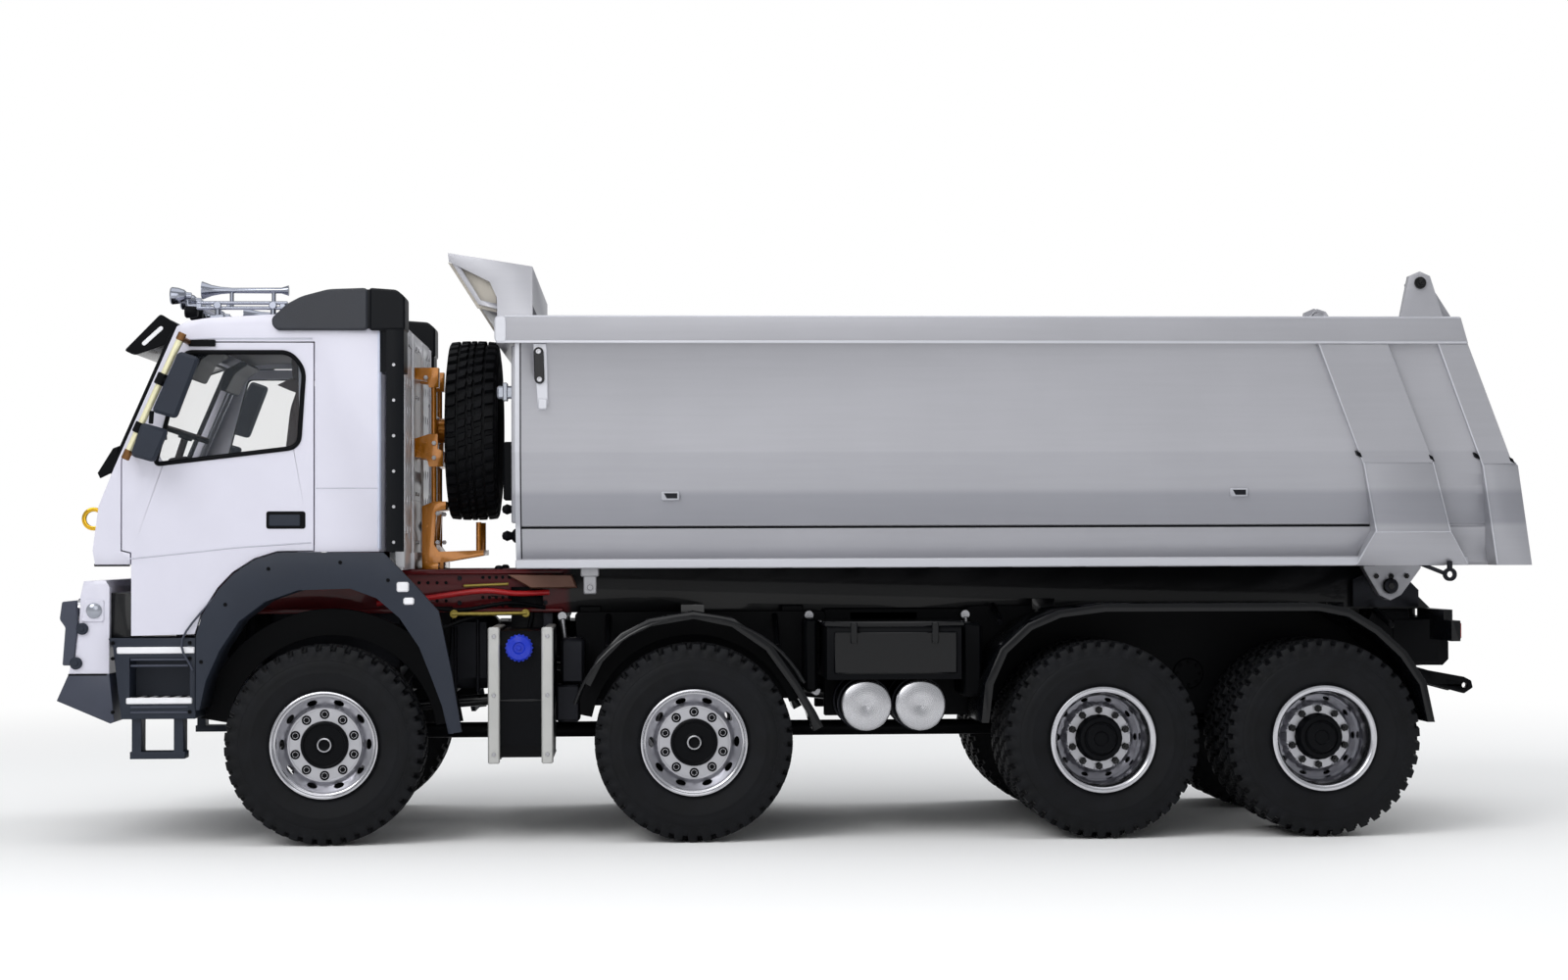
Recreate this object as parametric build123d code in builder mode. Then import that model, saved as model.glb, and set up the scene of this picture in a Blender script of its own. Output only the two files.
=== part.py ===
from build123d import *
import math
import os

os.makedirs("parts", exist_ok=True)

# Frame: X forward, Y to the truck's left, Z up; the origin is on the floor at mid length.

# Overall
FIT = 0.35  # gap between neighbouring pieces of different bodies

# Wheels
TYRE_R = 42.5
TYRE_W = 25.0
TWIN_GAP = 3.0
WHEEL_OUT_Y = 90.0
BEAD_R = 23.0
RIM_WALL = 1.8
HUB_R = 10.3
HUB_OUT = 1.5
DISC_R = 15.4  # flat face round the hub
AXLE_1_X = 203.0
AXLE_2_X = 47.0
AXLE_3_X = -128.0
AXLE_4_X = -224.0
KINGPIN_Y = 66.0
KINGPIN_R = 2.5

# Frame
RAIL_OUT_Y = 31.0
RAIL_W = 7.0
RAIL_T = 1.8
RAIL_TOP_Z = 116.0
RAIL_H = 19.5
RAIL_FRONT_X = 292.0
RAIL_REAR_X = -289.0
CAB_MOUNT_H = 8.0
BUMPER_BACK_X = 293.0
BUMPER_REACH = 22.0  # from the bumper's back to the guard's tip
BUMPER_HALF = 85.0
STEP_TOP_Z = 88.0

# Cab
CAB_HALF = 88.0
CAB_WALL = 3.0
CAB_BACK_X = 179.8
CAB_FLOOR_Z = RAIL_TOP_Z + CAB_MOUNT_H
CAB_TOP_Z = 224.5
CAB_LOW_Z = 89.0
NOSE_X = 299.5
NOSE_LOW_Z = 119.0
DOOR_REAR_X = 207.4
DOOR_FRONT_X = 287.4
DOOR_TOP_Z = 212.5
DOOR_GAP = 0.5
GLASS_T = 1.4
PILLAR_W = 11.0
SCREEN_HALF = CAB_HALF - PILLAR_W
DASH_GAP = 9.0  # from the dash's end to the side wall's inner face

# Arches
ARCH_PROUD = 2.0
ARCH_OUT_Y = CAB_HALF + ARCH_PROUD
ARCH_IN_Y = 60.0
ARCH_T = 2.0

# Bed
BED_HALF = 88.0
BED_WALL = 2.5
BED_FRONT_X = 122.5
BED_REAR_X = -315.0
BED_LENGTH = BED_FRONT_X - BED_REAR_X
BED_FLOOR_Z = 122.0
SILL_Z = 116.6
RAIL_LOW_Z = 212.5
BED_TOP_Z = 223.5
BED_RAIL_Y = 91.0
HINGE_X = -267.0
HINGE_Z = 107.0
HINGE_PIN_R = 3.0
GATE_PIVOT_X = -266.6
GATE_PIVOT_Z = 238.5
GATE_PIN_R = 2.2
PIN_PLAY = 0.3
SWING_PLAY = 1.2  # between the frame and what swings past it
CANOPY_T = 2.0
CANOPY_BACK_X = 115.2
CANOPY_SIDE = [
    (CANOPY_BACK_X, BED_TOP_Z), (CANOPY_BACK_X, 245.0), (151.0, 250.7), (150.6, 247.0),
    (133.3, 238.4), (130.4, 232.0), (130.0, BED_TOP_Z),
]

# Tipping cylinder
CYL_X = 116.0
CYL_LOW_Z = 90.0
CYL_TOP_Z = 203.0
CYL_R = 9.0
CYL_STEP_R = 1.4
CYL_TRUNNION_R = 3.0
CYL_STAGES = 4
CYL_EYE_R = 4.5
CYL_EYE_W = 6.0
CYL_PIN_R = 2.0

# Wheels
# side: +1 left, -1 right; tyres: how many on the hub
WHEELS = [
    # name, axle_x, side, tyres
    ("wheel_1_left", AXLE_1_X, 1, 1),
    ("wheel_1_right", AXLE_1_X, -1, 1),
    ("wheel_2_left", AXLE_2_X, 1, 1),
    ("wheel_2_right", AXLE_2_X, -1, 1),
    ("wheel_3_left", AXLE_3_X, 1, 2),
    ("wheel_3_right", AXLE_3_X, -1, 2),
    ("wheel_4_left", AXLE_4_X, 1, 2),
    ("wheel_4_right", AXLE_4_X, -1, 2),
]

# Tyre half section: (distance from the tyre's mid plane, radius)
TYRE_SECTION = [
    (-0.38 * TYRE_W, BEAD_R),
    (-0.50 * TYRE_W, BEAD_R + 0.42 * (TYRE_R - BEAD_R)),
    (-0.47 * TYRE_W, TYRE_R - 3.2),
    (-0.38 * TYRE_W, TYRE_R - 0.6),
    (0.0, TYRE_R),
    (0.38 * TYRE_W, TYRE_R - 0.6),
    (0.47 * TYRE_W, TYRE_R - 3.2),
    (0.50 * TYRE_W, BEAD_R + 0.42 * (TYRE_R - BEAD_R)),
    (0.38 * TYRE_W, BEAD_R),
]
RIM_HALF_W = 0.38 * TYRE_W
TWIN_PITCH = TYRE_W + TWIN_GAP

for name, axle_x, side, tyres in WHEELS:
    tyre_mids = [WHEEL_OUT_Y - 0.5 * TYRE_W - i * TWIN_PITCH for i in range(tyres)]
    with BuildPart() as tyre:
        for mid in tyre_mids:
            with BuildSketch(Plane.YZ.offset(axle_x)):
                with BuildLine():
                    Polyline(
                        *[(side * (mid + w), TYRE_R + r) for w, r in TYRE_SECTION],
                        close=True,
                    )
                make_face()
            revolve(axis=Axis((axle_x, 0, TYRE_R), (0, 1, 0)))
    tyre.part.label = name + "_tyre"
    export_step(tyre.part, "parts/" + name + "_tyre.step")

    # Single wheels have a flush disc, twin wheels a disc deep in the outer rim
    disc_out = WHEEL_OUT_Y - (4.5 if tyres == 1 else 16.0)
    rim_in = tyre_mids[-1] - RIM_HALF_W
    rim_out = WHEEL_OUT_Y - 0.5 * TYRE_W + RIM_HALF_W
    lip_r = BEAD_R
    well_r = BEAD_R - RIM_WALL
    if tyres == 1:
        section = [
            (rim_in, lip_r),
            (rim_out, lip_r),
            (rim_out, well_r),
            (disc_out - 1.0, well_r - 1.0),
            (disc_out, DISC_R),
            (disc_out, HUB_R),
            (disc_out + HUB_OUT + 1.6, HUB_R - 1.2),
            (disc_out + HUB_OUT + 1.6, 0.0),
            (disc_out - 9.0, 0.0),
            (disc_out - 9.0, HUB_R),
            (disc_out - 2.2, HUB_R + 1.0),
            (disc_out - 3.4, well_r - 0.4),
            (rim_in, well_r),
        ]
    else:
        section = [
            (rim_in, lip_r),
            (rim_out, lip_r),
            (rim_out, well_r),
            (disc_out + 3.0, well_r - 1.0),
            (disc_out, DISC_R),
            (disc_out, HUB_R),
            (disc_out + 8.0, HUB_R - 2.0),
            (disc_out + 8.0, 0.0),
            (disc_out - 9.0, 0.0),
            (disc_out - 9.0, HUB_R),
            (disc_out - 2.2, HUB_R + 1.0),
            (disc_out + 0.4, well_r - 0.6),
            (rim_in, well_r),
        ]
    with BuildPart() as rim:
        with BuildSketch(Plane.YZ.offset(axle_x)):
            with BuildLine():
                Polyline(*[(side * y, TYRE_R + r) for y, r in section], close=True)
            make_face()
        revolve(axis=Axis((axle_x, 0, TYRE_R), (0, 1, 0)))
    rim.part.label = name + "_rim"
    export_step(rim.part, "parts/" + name + "_rim.step")

# Knuckles
FORK_Z = 13.0
KNUCKLE_Z = 8.0
KNUCKLES = [
    # name, axle_x, side
    ("knuckle_1_left", AXLE_1_X, 1),
    ("knuckle_1_right", AXLE_1_X, -1),
    ("knuckle_2_left", AXLE_2_X, 1),
    ("knuckle_2_right", AXLE_2_X, -1),
]
stub_end_y = WHEEL_OUT_Y - 4.5 - 9.0
for name, axle_x, side in KNUCKLES:
    with BuildPart() as knuckle:
        with BuildSketch(Plane.XY.offset(TYRE_R - KNUCKLE_Z)):
            with Locations((axle_x, side * KINGPIN_Y)):
                Circle(5.5)
        extrude(amount=2 * KNUCKLE_Z)
        with BuildSketch(Plane.XZ.offset(-side * KINGPIN_Y)):
            with Locations((axle_x, TYRE_R)):
                Circle(7.0)
        extrude(amount=-side * (stub_end_y - KINGPIN_Y - FIT))
        with BuildSketch(Plane.XY.offset(TYRE_R - KNUCKLE_Z)):
            with Locations((axle_x - 12.0, side * (KINGPIN_Y - 2.2))):
                Rectangle(22.0, 4.0)
        extrude(amount=4.0)
        with BuildSketch(Plane.XY.offset(TYRE_R - FORK_Z - 4.0)):
            with Locations((axle_x, side * KINGPIN_Y)):
                Circle(KINGPIN_R)
        extrude(amount=2 * FORK_Z + 8.0)
    knuckle.part.label = name
    export_step(knuckle.part, "parts/" + name + ".step")

# Axles
DIFF_R = 15.0
DIFF_W = 26.0
TUBE_R = 7.0
SHAFT_R = 3.5
FORK_T = 3.5
with BuildPart() as steer_axles:
    for axle_x in (AXLE_1_X, AXLE_2_X):
        with BuildSketch(Plane.XZ):
            with Locations((axle_x, TYRE_R)):
                Circle(DIFF_R)
        extrude(amount=0.5 * DIFF_W, both=True)
        with BuildSketch(Plane.XZ):
            with Locations((axle_x, TYRE_R)):
                Circle(TUBE_R)
        extrude(amount=KINGPIN_Y - 12.0, both=True)
        for side in (1, -1):
            with BuildSketch(Plane.YZ.offset(axle_x - 5.0)):
                with Locations((side * (KINGPIN_Y - 11.0), TYRE_R)):
                    Rectangle(6.0, 2 * (FORK_Z + FORK_T))
                for lift in (1, -1):
                    with Locations((side * (KINGPIN_Y - 3.0), TYRE_R + lift * (FORK_Z - 0.5 * FORK_T))):
                        Rectangle(16.0, FORK_T)
            extrude(amount=10.0)
            with BuildSketch(Plane.XY.offset(TYRE_R - FORK_Z - 10.0)):
                with Locations((axle_x, side * KINGPIN_Y)):
                    Circle(KINGPIN_R + FIT)
            extrude(amount=2 * FORK_Z + 20.0, mode=Mode.SUBTRACT)
steer_axles.part.label = "steer_axles"
export_step(steer_axles.part, "parts/steer_axles.step")

twin_in_y = WHEEL_OUT_Y - TYRE_W - TWIN_PITCH
hub_in_y = WHEEL_OUT_Y - 16.0 - 9.0
with BuildPart() as drive_axles:
    for axle_x in (AXLE_3_X, AXLE_4_X):
        with BuildSketch(Plane.XZ):
            with Locations((axle_x, TYRE_R)):
                Circle(DIFF_R)
        extrude(amount=0.5 * DIFF_W, both=True)
        with BuildSketch(Plane.XZ):
            with Locations((axle_x, TYRE_R)):
                Circle(TUBE_R)
        extrude(amount=hub_in_y - FIT, both=True)
    # shafts between the housings of neighbouring axles
    for front_x, rear_x in (
        (AXLE_1_X, AXLE_2_X),
        (AXLE_2_X, AXLE_3_X),
        (AXLE_3_X, AXLE_4_X),
    ):
        with BuildSketch(Plane.YZ.offset(rear_x + DIFF_R)):
            with Locations((0, TYRE_R)):
                Circle(SHAFT_R)
        extrude(amount=front_x - rear_x - 2 * DIFF_R)
drive_axles.part.label = "drive_axles"
export_step(drive_axles.part, "parts/drive_axles.step")

# Springs
SPRING_T = 6.0
SPRING_W = RAIL_W
SPRING_SPAN = 36.0
spring_low_z = TYRE_R + TUBE_R
rail_low_z = RAIL_TOP_Z - RAIL_H
with BuildPart() as leaf_springs:
    for axle_x, span, seat_z, end_z in (
        (AXLE_1_X, SPRING_SPAN, spring_low_z, 82.0),
        (AXLE_2_X, SPRING_SPAN, spring_low_z, 82.0),
    ):
        with BuildSketch(Plane.XZ.offset(-RAIL_OUT_Y)):
            with BuildLine():
                ThreePointArc(
                    (axle_x - span, end_z), (axle_x, seat_z), (axle_x + span, end_z)
                )
                Line((axle_x + span, end_z), (axle_x + span, end_z + SPRING_T))
                ThreePointArc(
                    (axle_x + span, end_z + SPRING_T),
                    (axle_x, seat_z + SPRING_T),
                    (axle_x - span, end_z + SPRING_T),
                )
                Line((axle_x - span, end_z + SPRING_T), (axle_x - span, end_z))
            make_face()
            for end in (1, -1):
                with Locations((axle_x + end * (span - 2.0), 0.5 * (end_z + 1.0 + rail_low_z))):
                    Rectangle(7.0, rail_low_z - end_z - 1.0)
        extrude(amount=SPRING_W)
    bogie_x = 0.5 * (AXLE_3_X + AXLE_4_X)
    bogie_half = 0.5 * (AXLE_3_X - AXLE_4_X)
    axle_top_z = TYRE_R + TUBE_R
    with BuildSketch(Plane.XZ.offset(-RAIL_OUT_Y)):
        with BuildLine():
            ThreePointArc(
                (bogie_x - bogie_half - 6.0, axle_top_z),
                (bogie_x, axle_top_z + 10.0),
                (bogie_x + bogie_half + 6.0, axle_top_z),
            )
            Line(
                (bogie_x + bogie_half + 6.0, axle_top_z),
                (bogie_x + bogie_half + 6.0, axle_top_z + 3.0),
            )
            ThreePointArc(
                (bogie_x + bogie_half + 6.0, axle_top_z + 3.0),
                (bogie_x, axle_top_z + 20.0),
                (bogie_x - bogie_half - 6.0, axle_top_z + 3.0),
            )
            Line(
                (bogie_x - bogie_half - 6.0, axle_top_z + 3.0),
                (bogie_x - bogie_half - 6.0, axle_top_z),
            )
        make_face()
        with Locations((bogie_x, 0.5 * (rail_low_z + axle_top_z + 12.0))):
            Rectangle(26.0, rail_low_z - axle_top_z - 12.0)
    extrude(amount=SPRING_W)
    mirror(about=Plane.XZ)
leaf_springs.part.label = "leaf_springs"
export_step(leaf_springs.part, "parts/leaf_springs.step")

# Frame
CROSS_XS = (284.0, 150.0, 75.0, -20.0, -90.0, -176.0, -283.0)
with BuildPart() as frame_rails:
    for side in (1, -1):
        with BuildSketch(Plane.YZ.offset(RAIL_REAR_X)):
            with Locations((side * (RAIL_OUT_Y - 0.5 * RAIL_W), RAIL_TOP_Z - 0.5 * RAIL_H)):
                Rectangle(RAIL_W, RAIL_H)
            with Locations(
                (side * (RAIL_OUT_Y - RAIL_T - 0.5 * RAIL_W), RAIL_TOP_Z - 0.5 * RAIL_H)
            ):
                Rectangle(RAIL_W, RAIL_H - 2 * RAIL_T, mode=Mode.SUBTRACT)
        extrude(amount=RAIL_FRONT_X - RAIL_REAR_X)
    for cross_x in CROSS_XS:
        with BuildSketch(Plane.YZ.offset(cross_x - 4.0)):
            with Locations((0, RAIL_TOP_Z - 0.5 * RAIL_H)):
                Rectangle(2 * (RAIL_OUT_Y - RAIL_T), RAIL_H - 2 * RAIL_T)
        extrude(amount=8.0)
    for mount_x in (192.0, 276.0):
        for side in (1, -1):
            with BuildSketch(Plane.XY.offset(RAIL_TOP_Z)):
                with Locations((mount_x, side * (RAIL_OUT_Y - 0.5 * RAIL_W))):
                    Rectangle(12.0, RAIL_W)
            extrude(amount=CAB_MOUNT_H)
    # rear ends cut down behind the hinge, clear of the bed's beams as they swing
    swing_r = (RAIL_TOP_Z - HINGE_Z) - SWING_PLAY
    with BuildSketch(Plane.XZ):
        with BuildLine():
            Polyline(
                (HINGE_X + SWING_PLAY, RAIL_TOP_Z),
                (HINGE_X - 0.7 * swing_r, HINGE_Z + 0.7 * swing_r),
                (RAIL_REAR_X, HINGE_Z + 1.4 * swing_r - (HINGE_X - RAIL_REAR_X)),
                (RAIL_REAR_X - 1.0, RAIL_TOP_Z + 1.0),
                (HINGE_X + SWING_PLAY, RAIL_TOP_Z + 1.0),
                close=True,
            )
        make_face()
    extrude(amount=RAIL_OUT_Y + 1.0, both=True, mode=Mode.SUBTRACT)
    # cross plate that carries the bumper and the cab steps
    with BuildSketch(Plane.XY.offset(STEP_TOP_Z)):
        with Locations((BUMPER_BACK_X - 4.5, 0)):
            Rectangle(9.0, 2 * (BUMPER_HALF - 3.0))
    extrude(amount=19.0)
frame_rails.part.label = "frame_rails"
export_step(frame_rails.part, "parts/frame_rails.step")

with BuildPart() as engine_block:
    with BuildSketch(Plane.XY.offset(72.0)):
        with Locations((217.0, 0)):
            Rectangle(80.0, 2 * (RAIL_OUT_Y - RAIL_W))
    extrude(amount=RAIL_TOP_Z - 72.0)
engine_block.part.label = "engine_block"
export_step(engine_block.part, "parts/engine_block.step")

# Cab
CAB_OUTLINE = [
    (NOSE_X - 1.0, NOSE_LOW_Z),
    (NOSE_X, 125.0),
    (NOSE_X - 2.4, 143.6),
    (NOSE_X - 8.7, 159.3),
    (264.6, CAB_TOP_Z - 5.2),
    (260.3, CAB_TOP_Z - 3.0),
    (251.8, CAB_TOP_Z - 1.6),
    (223.4, CAB_TOP_Z),
    (CAB_BACK_X, CAB_TOP_Z),
    (CAB_BACK_X, CAB_FLOOR_Z),
    (284.0, CAB_FLOOR_Z),
    (284.0, NOSE_LOW_Z),
]
# The arch's outer edge, from the cab's low front corner up and back
ARCH_OUTER = [
    (256.4, CAB_LOW_Z),
    (253.7, 97.6),
    (246.8, 108.5),
    (240.5, 115.1),
    (231.8, 120.7),
    (221.9, CAB_FLOOR_Z - 0.2),
]
DOOR_OUTLINE = [
    (DOOR_REAR_X, CAB_FLOOR_Z + 0.6),
    (DOOR_REAR_X, DOOR_TOP_Z),
    (262.0, DOOR_TOP_Z),
    (DOOR_FRONT_X, 163.0),
    (DOOR_FRONT_X, NOSE_LOW_Z + 6.0),
    (284.0 - DOOR_GAP, NOSE_LOW_Z + 5.0),
    (284.0 - DOOR_GAP, CAB_LOW_Z),
] + [(x + 0.6, z + 0.6) for x, z in ARCH_OUTER]
WINDOW_OUTLINE = [(261.0, 208.0), (217.5, 208.0), (211.8, 201.0), (214.0, 168.5), (273.0, 161.5)]
WINDOW_CORNER_R = 3.0
HANDLE_X = 219.0
HANDLE_Z = 137.4
SCREEN_LOW = (NOSE_X - 8.7 - 2.2, 164.5)
SCREEN_HIGH = (NOSE_X - 8.7 - 22.8, 212.0)

with BuildPart() as cab_shell:
    with BuildSketch(Plane.XZ) as cab_side:
        with BuildLine():
            Polyline(*CAB_OUTLINE, close=True)
        make_face()
    extrude(amount=CAB_HALF, both=True)
    with BuildSketch(Plane.XZ):
        add(cab_side.sketch)
        offset(amount=-CAB_WALL, kind=Kind.INTERSECTION, mode=Mode.REPLACE)
    extrude(amount=CAB_HALF - CAB_WALL, both=True, mode=Mode.SUBTRACT)
    # door openings, a gap wider than the doors
    with BuildSketch(Plane.XZ):
        with BuildLine():
            Polyline(*DOOR_OUTLINE, close=True)
        make_face()
        offset(amount=DOOR_GAP, kind=Kind.INTERSECTION, mode=Mode.REPLACE)
    extrude(amount=CAB_HALF + 5.0, both=True, mode=Mode.SUBTRACT)
    # the part of the shell between the openings comes back
    with BuildSketch(Plane.XZ):
        add(cab_side.sketch)
        with BuildSketch(Plane.XZ, mode=Mode.PRIVATE) as cab_void:
            add(cab_side.sketch)
            offset(amount=-CAB_WALL, kind=Kind.INTERSECTION, mode=Mode.REPLACE)
        add(cab_void.sketch, mode=Mode.SUBTRACT)
    extrude(amount=CAB_HALF - CAB_WALL, both=True)
    # windscreen opening
    with BuildSketch(Plane.YZ.offset(255.0)):
        with BuildLine():
            Polyline(
                (-SCREEN_HALF, SCREEN_LOW[1]),
                (-SCREEN_HALF + 3.0, SCREEN_HIGH[1]),
                (SCREEN_HALF - 3.0, SCREEN_HIGH[1]),
                (SCREEN_HALF, SCREEN_LOW[1]),
                close=True,
            )
        make_face()
    extrude(amount=60.0, mode=Mode.SUBTRACT)
cab_shell.part.label = "cab_shell"
export_step(cab_shell.part, "parts/cab_shell.step")

slope_dx = (264.6 - (NOSE_X - 8.7)) / (CAB_TOP_Z - 5.2 - 159.3)
with BuildPart() as windscreen:
    # a slab along the slope, trimmed to the opening
    with BuildSketch(Plane.XZ):
        with BuildLine():
            Polyline(
                (NOSE_X - 8.7 + slope_dx * (SCREEN_LOW[1] - 159.3) - 0.4, SCREEN_LOW[1]),
                (NOSE_X - 8.7 + slope_dx * (SCREEN_HIGH[1] - 159.3) - 0.4, SCREEN_HIGH[1]),
                (
                    NOSE_X - 8.7 + slope_dx * (SCREEN_HIGH[1] - 159.3) - 0.4 - GLASS_T,
                    SCREEN_HIGH[1],
                ),
                (
                    NOSE_X - 8.7 + slope_dx * (SCREEN_LOW[1] - 159.3) - 0.4 - GLASS_T,
                    SCREEN_LOW[1],
                ),
                close=True,
            )
        make_face()
    extrude(amount=SCREEN_HALF + 1.0, both=True)
    with BuildSketch(Plane.YZ.offset(240.0)):
        with BuildLine():
            Polyline(
                (-SCREEN_HALF, SCREEN_LOW[1]),
                (-SCREEN_HALF + 3.0, SCREEN_HIGH[1]),
                (SCREEN_HALF - 3.0, SCREEN_HIGH[1]),
                (SCREEN_HALF, SCREEN_LOW[1]),
                close=True,
            )
        make_face()
    extrude(amount=70.0, mode=Mode.INTERSECT)
windscreen.part.label = "windscreen"
export_step(windscreen.part, "parts/windscreen.step")

for word, side in (("left", 1), ("right", -1)):
    with BuildPart() as door:
        with BuildSketch(Plane.XZ.offset(-side * CAB_HALF)):
            with BuildLine():
                Polyline(*DOOR_OUTLINE, close=True)
            make_face()
        extrude(amount=side * CAB_WALL)
        with BuildSketch(Plane.XZ.offset(-side * CAB_HALF)) as window:
            with BuildLine():
                Polyline(*WINDOW_OUTLINE, close=True)
            make_face()
            fillet(window.vertices(), WINDOW_CORNER_R)
        extrude(amount=side * CAB_WALL, mode=Mode.SUBTRACT)
        # handle recess
        with BuildSketch(Plane.XZ.offset(-side * CAB_HALF)):
            with Locations((HANDLE_X, HANDLE_Z)):
                Rectangle(15.4, 6.5)
        extrude(amount=side * 1.4, mode=Mode.SUBTRACT)
    door.part.label = "door_" + word
    export_step(door.part, "parts/door_" + word + ".step")

    with BuildPart() as door_glass:
        with BuildSketch(Plane.XZ.offset(-side * (CAB_HALF - 0.8))) as pane:
            with BuildLine():
                Polyline(*WINDOW_OUTLINE, close=True)
            make_face()
            fillet(pane.vertices(), WINDOW_CORNER_R)
        extrude(amount=side * GLASS_T)
    door_glass.part.label = "door_glass_" + word
    export_step(door_glass.part, "parts/door_glass_" + word + ".step")

    # Mirror rod along the front pillar with two heads
    with BuildPart() as mirrors:
        with BuildSketch(Plane.XZ.offset(-side * (CAB_HALF + 11.0))):
            with BuildLine():
                Polyline(
                    (259.6, 214.5), (261.6, 215.4), (284.2, 165.0), (282.2, 164.1), close=True
                )
            make_face()
        extrude(amount=side * 2.0)
        for corners in (
            [(258.3, 207.4), (251.8, 204.6), (262.0, 180.4), (271.5, 184.0)],
            [(273.6, 177.6), (265.2, 174.6), (270.0, 162.6), (280.0, 165.6)],
        ):
            with BuildSketch(Plane.XZ.offset(-side * (CAB_HALF + 15.0))):
                with BuildLine():
                    Polyline(*corners, close=True)
                make_face()
            extrude(amount=side * 4.5)
        # clamps between the rod and the heads
        for clamp_x, clamp_z in ((267.5, 195.0), (278.5, 172.0)):
            with BuildSketch(Plane.XZ.offset(-side * (CAB_HALF + 14.0))):
                with Locations((clamp_x, clamp_z)):
                    Rectangle(7.0, 3.0)
            extrude(amount=side * 5.0)
        # end brackets back to the door
        for bracket_x, bracket_z in ((259.5, 211.0), (283.0, 166.0)):
            with BuildSketch(Plane.XZ.offset(-side * (CAB_HALF + 12.0))):
                with Locations((bracket_x, bracket_z)):
                    Rectangle(6.0, 3.5)
            extrude(amount=side * 12.0)
    mirrors.part.label = "mirrors_" + word
    export_step(mirrors.part, "parts/mirrors_" + word + ".step")

# Seats, dash, tunnel and steering wheel on one floor tray
STEERING_R = 10.0
STEERING_LEAN = 0.33
with BuildPart() as cab_interior:
    tray_z = CAB_FLOOR_Z + CAB_WALL
    with BuildSketch(Plane.XY.offset(tray_z)):
        with Locations((232.0, 0)):
            Rectangle(96.0, 2 * (CAB_HALF - CAB_WALL - 2.0))
    extrude(amount=1.5)
    with BuildSketch(Plane.XY.offset(tray_z)):
        with Locations((225.0, 0)):
            Rectangle(80.0, 42.0)
    extrude(amount=22.0)
    with BuildSketch(Plane.XZ):
        with BuildLine():
            Polyline(
                (262.0, tray_z), (284.0, tray_z), (284.0, 157.0), (270.0, 161.0), (262.0, 154.0),
                close=True,
            )
        make_face()
    extrude(amount=CAB_HALF - CAB_WALL - DASH_GAP, both=True)
    for seat_y in (46.0, -46.0):
        with BuildSketch(Plane.XZ.offset(-seat_y)):
            with BuildLine():
                Polyline(
                    (215.0, tray_z), (243.0, tray_z), (246.0, 155.0), (224.0, 153.0),
                    (218.0, 193.0), (226.0, 196.0), (220.0, 199.0), (211.0, 196.0),
                    (210.0, 150.0),
                    close=True,
                )
            make_face()
        extrude(amount=18.0, both=True)
    # steering wheel, leaned back on its column from the dash
    steering_plane = Plane(
        origin=(267.9, 46.0, 175.2), x_dir=(0, 1, 0), z_dir=(-STEERING_LEAN, 0, 1)
    )
    with BuildSketch(steering_plane):
        Circle(STEERING_R)
        Circle(STEERING_R - 1.8, mode=Mode.SUBTRACT)
        Rectangle(2 * STEERING_R - 2.0, 2.4)
        Circle(2.6)
    extrude(amount=1.6)
    with BuildSketch(steering_plane):
        Circle(1.6)
    extrude(amount=-17.0)
cab_interior.part.label = "cab_interior"
export_step(cab_interior.part, "parts/cab_interior.step")

# Arches
ARCH_INNER = [
    (254.7, 57.8), (252.0, 70.1), (246.5, 82.5), (238.3, 94.9), (227.5, 103.1),
    (213.7, 107.9), (191.8, 108.5), (180.9, 104.4), (171.3, 96.1), (163.0, 83.7),
    (157.5, 69.9), (153.4, 58.8), (150.7, 47.1),
]
ARCH_FACE = (
    [(256.2, 57.8), (256.2, CAB_LOW_Z)]
    + ARCH_OUTER[1:]
    + [(178.1, CAB_FLOOR_Z - 0.2), (164.8, 110.0), (154.8, 98.8), (149.3, 72.6), (145.2, 47.8)]
    + ARCH_INNER[::-1]
)
with BuildPart() as cab_arches:
    with BuildSketch(Plane.XZ.offset(-ARCH_OUT_Y)):
        with BuildLine():
            Polyline(*ARCH_FACE, close=True)
        make_face()
    extrude(amount=3.5)
    with BuildSketch(Plane.XZ.offset(-ARCH_OUT_Y)):
        with BuildLine():
            Polyline(
                *ARCH_INNER,
                (150.7 - ARCH_T, 47.1),
                *[
                    (x + (ARCH_T if x > AXLE_1_X else -ARCH_T) * 0.8, z + ARCH_T * 0.6)
                    for x, z in ARCH_INNER[::-1]
                ],
                close=True,
            )
        make_face()
    extrude(amount=ARCH_OUT_Y - ARCH_IN_Y)
    mirror(about=Plane.XZ)
cab_arches.part.label = "cab_arches"
export_step(cab_arches.part, "parts/cab_arches.step")

# Bumper
BUMPER_TOP_Z = 112.4
BUMPER_SEAM_Z = 73.0
BUMPER_LOW_Z = 52.0
GUARD_TIP_Z = 61.7
GUARD_TIP_X = BUMPER_BACK_X + BUMPER_REACH
BUMPER_FRONT = [
    (GUARD_TIP_X - 9.8, 105.3), (GUARD_TIP_X - 9.4, 94.3), (GUARD_TIP_X - 7.8, 85.7),
    (GUARD_TIP_X - 5.0, BUMPER_SEAM_Z),
]
with BuildPart() as bumper:
    with BuildSketch(Plane.XZ):
        with BuildLine():
            Polyline(
                (BUMPER_BACK_X, 109.5), (BUMPER_BACK_X + 1.6, BUMPER_TOP_Z),
                (GUARD_TIP_X - 11.2, BUMPER_TOP_Z - 0.4),
                *BUMPER_FRONT, (BUMPER_BACK_X, BUMPER_SEAM_Z),
                close=True,
            )
        make_face()
    extrude(amount=BUMPER_HALF, both=True)
    # lamp recesses
    for side in (1, -1):
        with BuildSketch(Plane.YZ.offset(GUARD_TIP_X - 16.0)):
            with Locations((side * (BUMPER_HALF - 17.0), 99.5)):
                Rectangle(26.0, 9.5)
        extrude(amount=20.0, mode=Mode.SUBTRACT)
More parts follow.
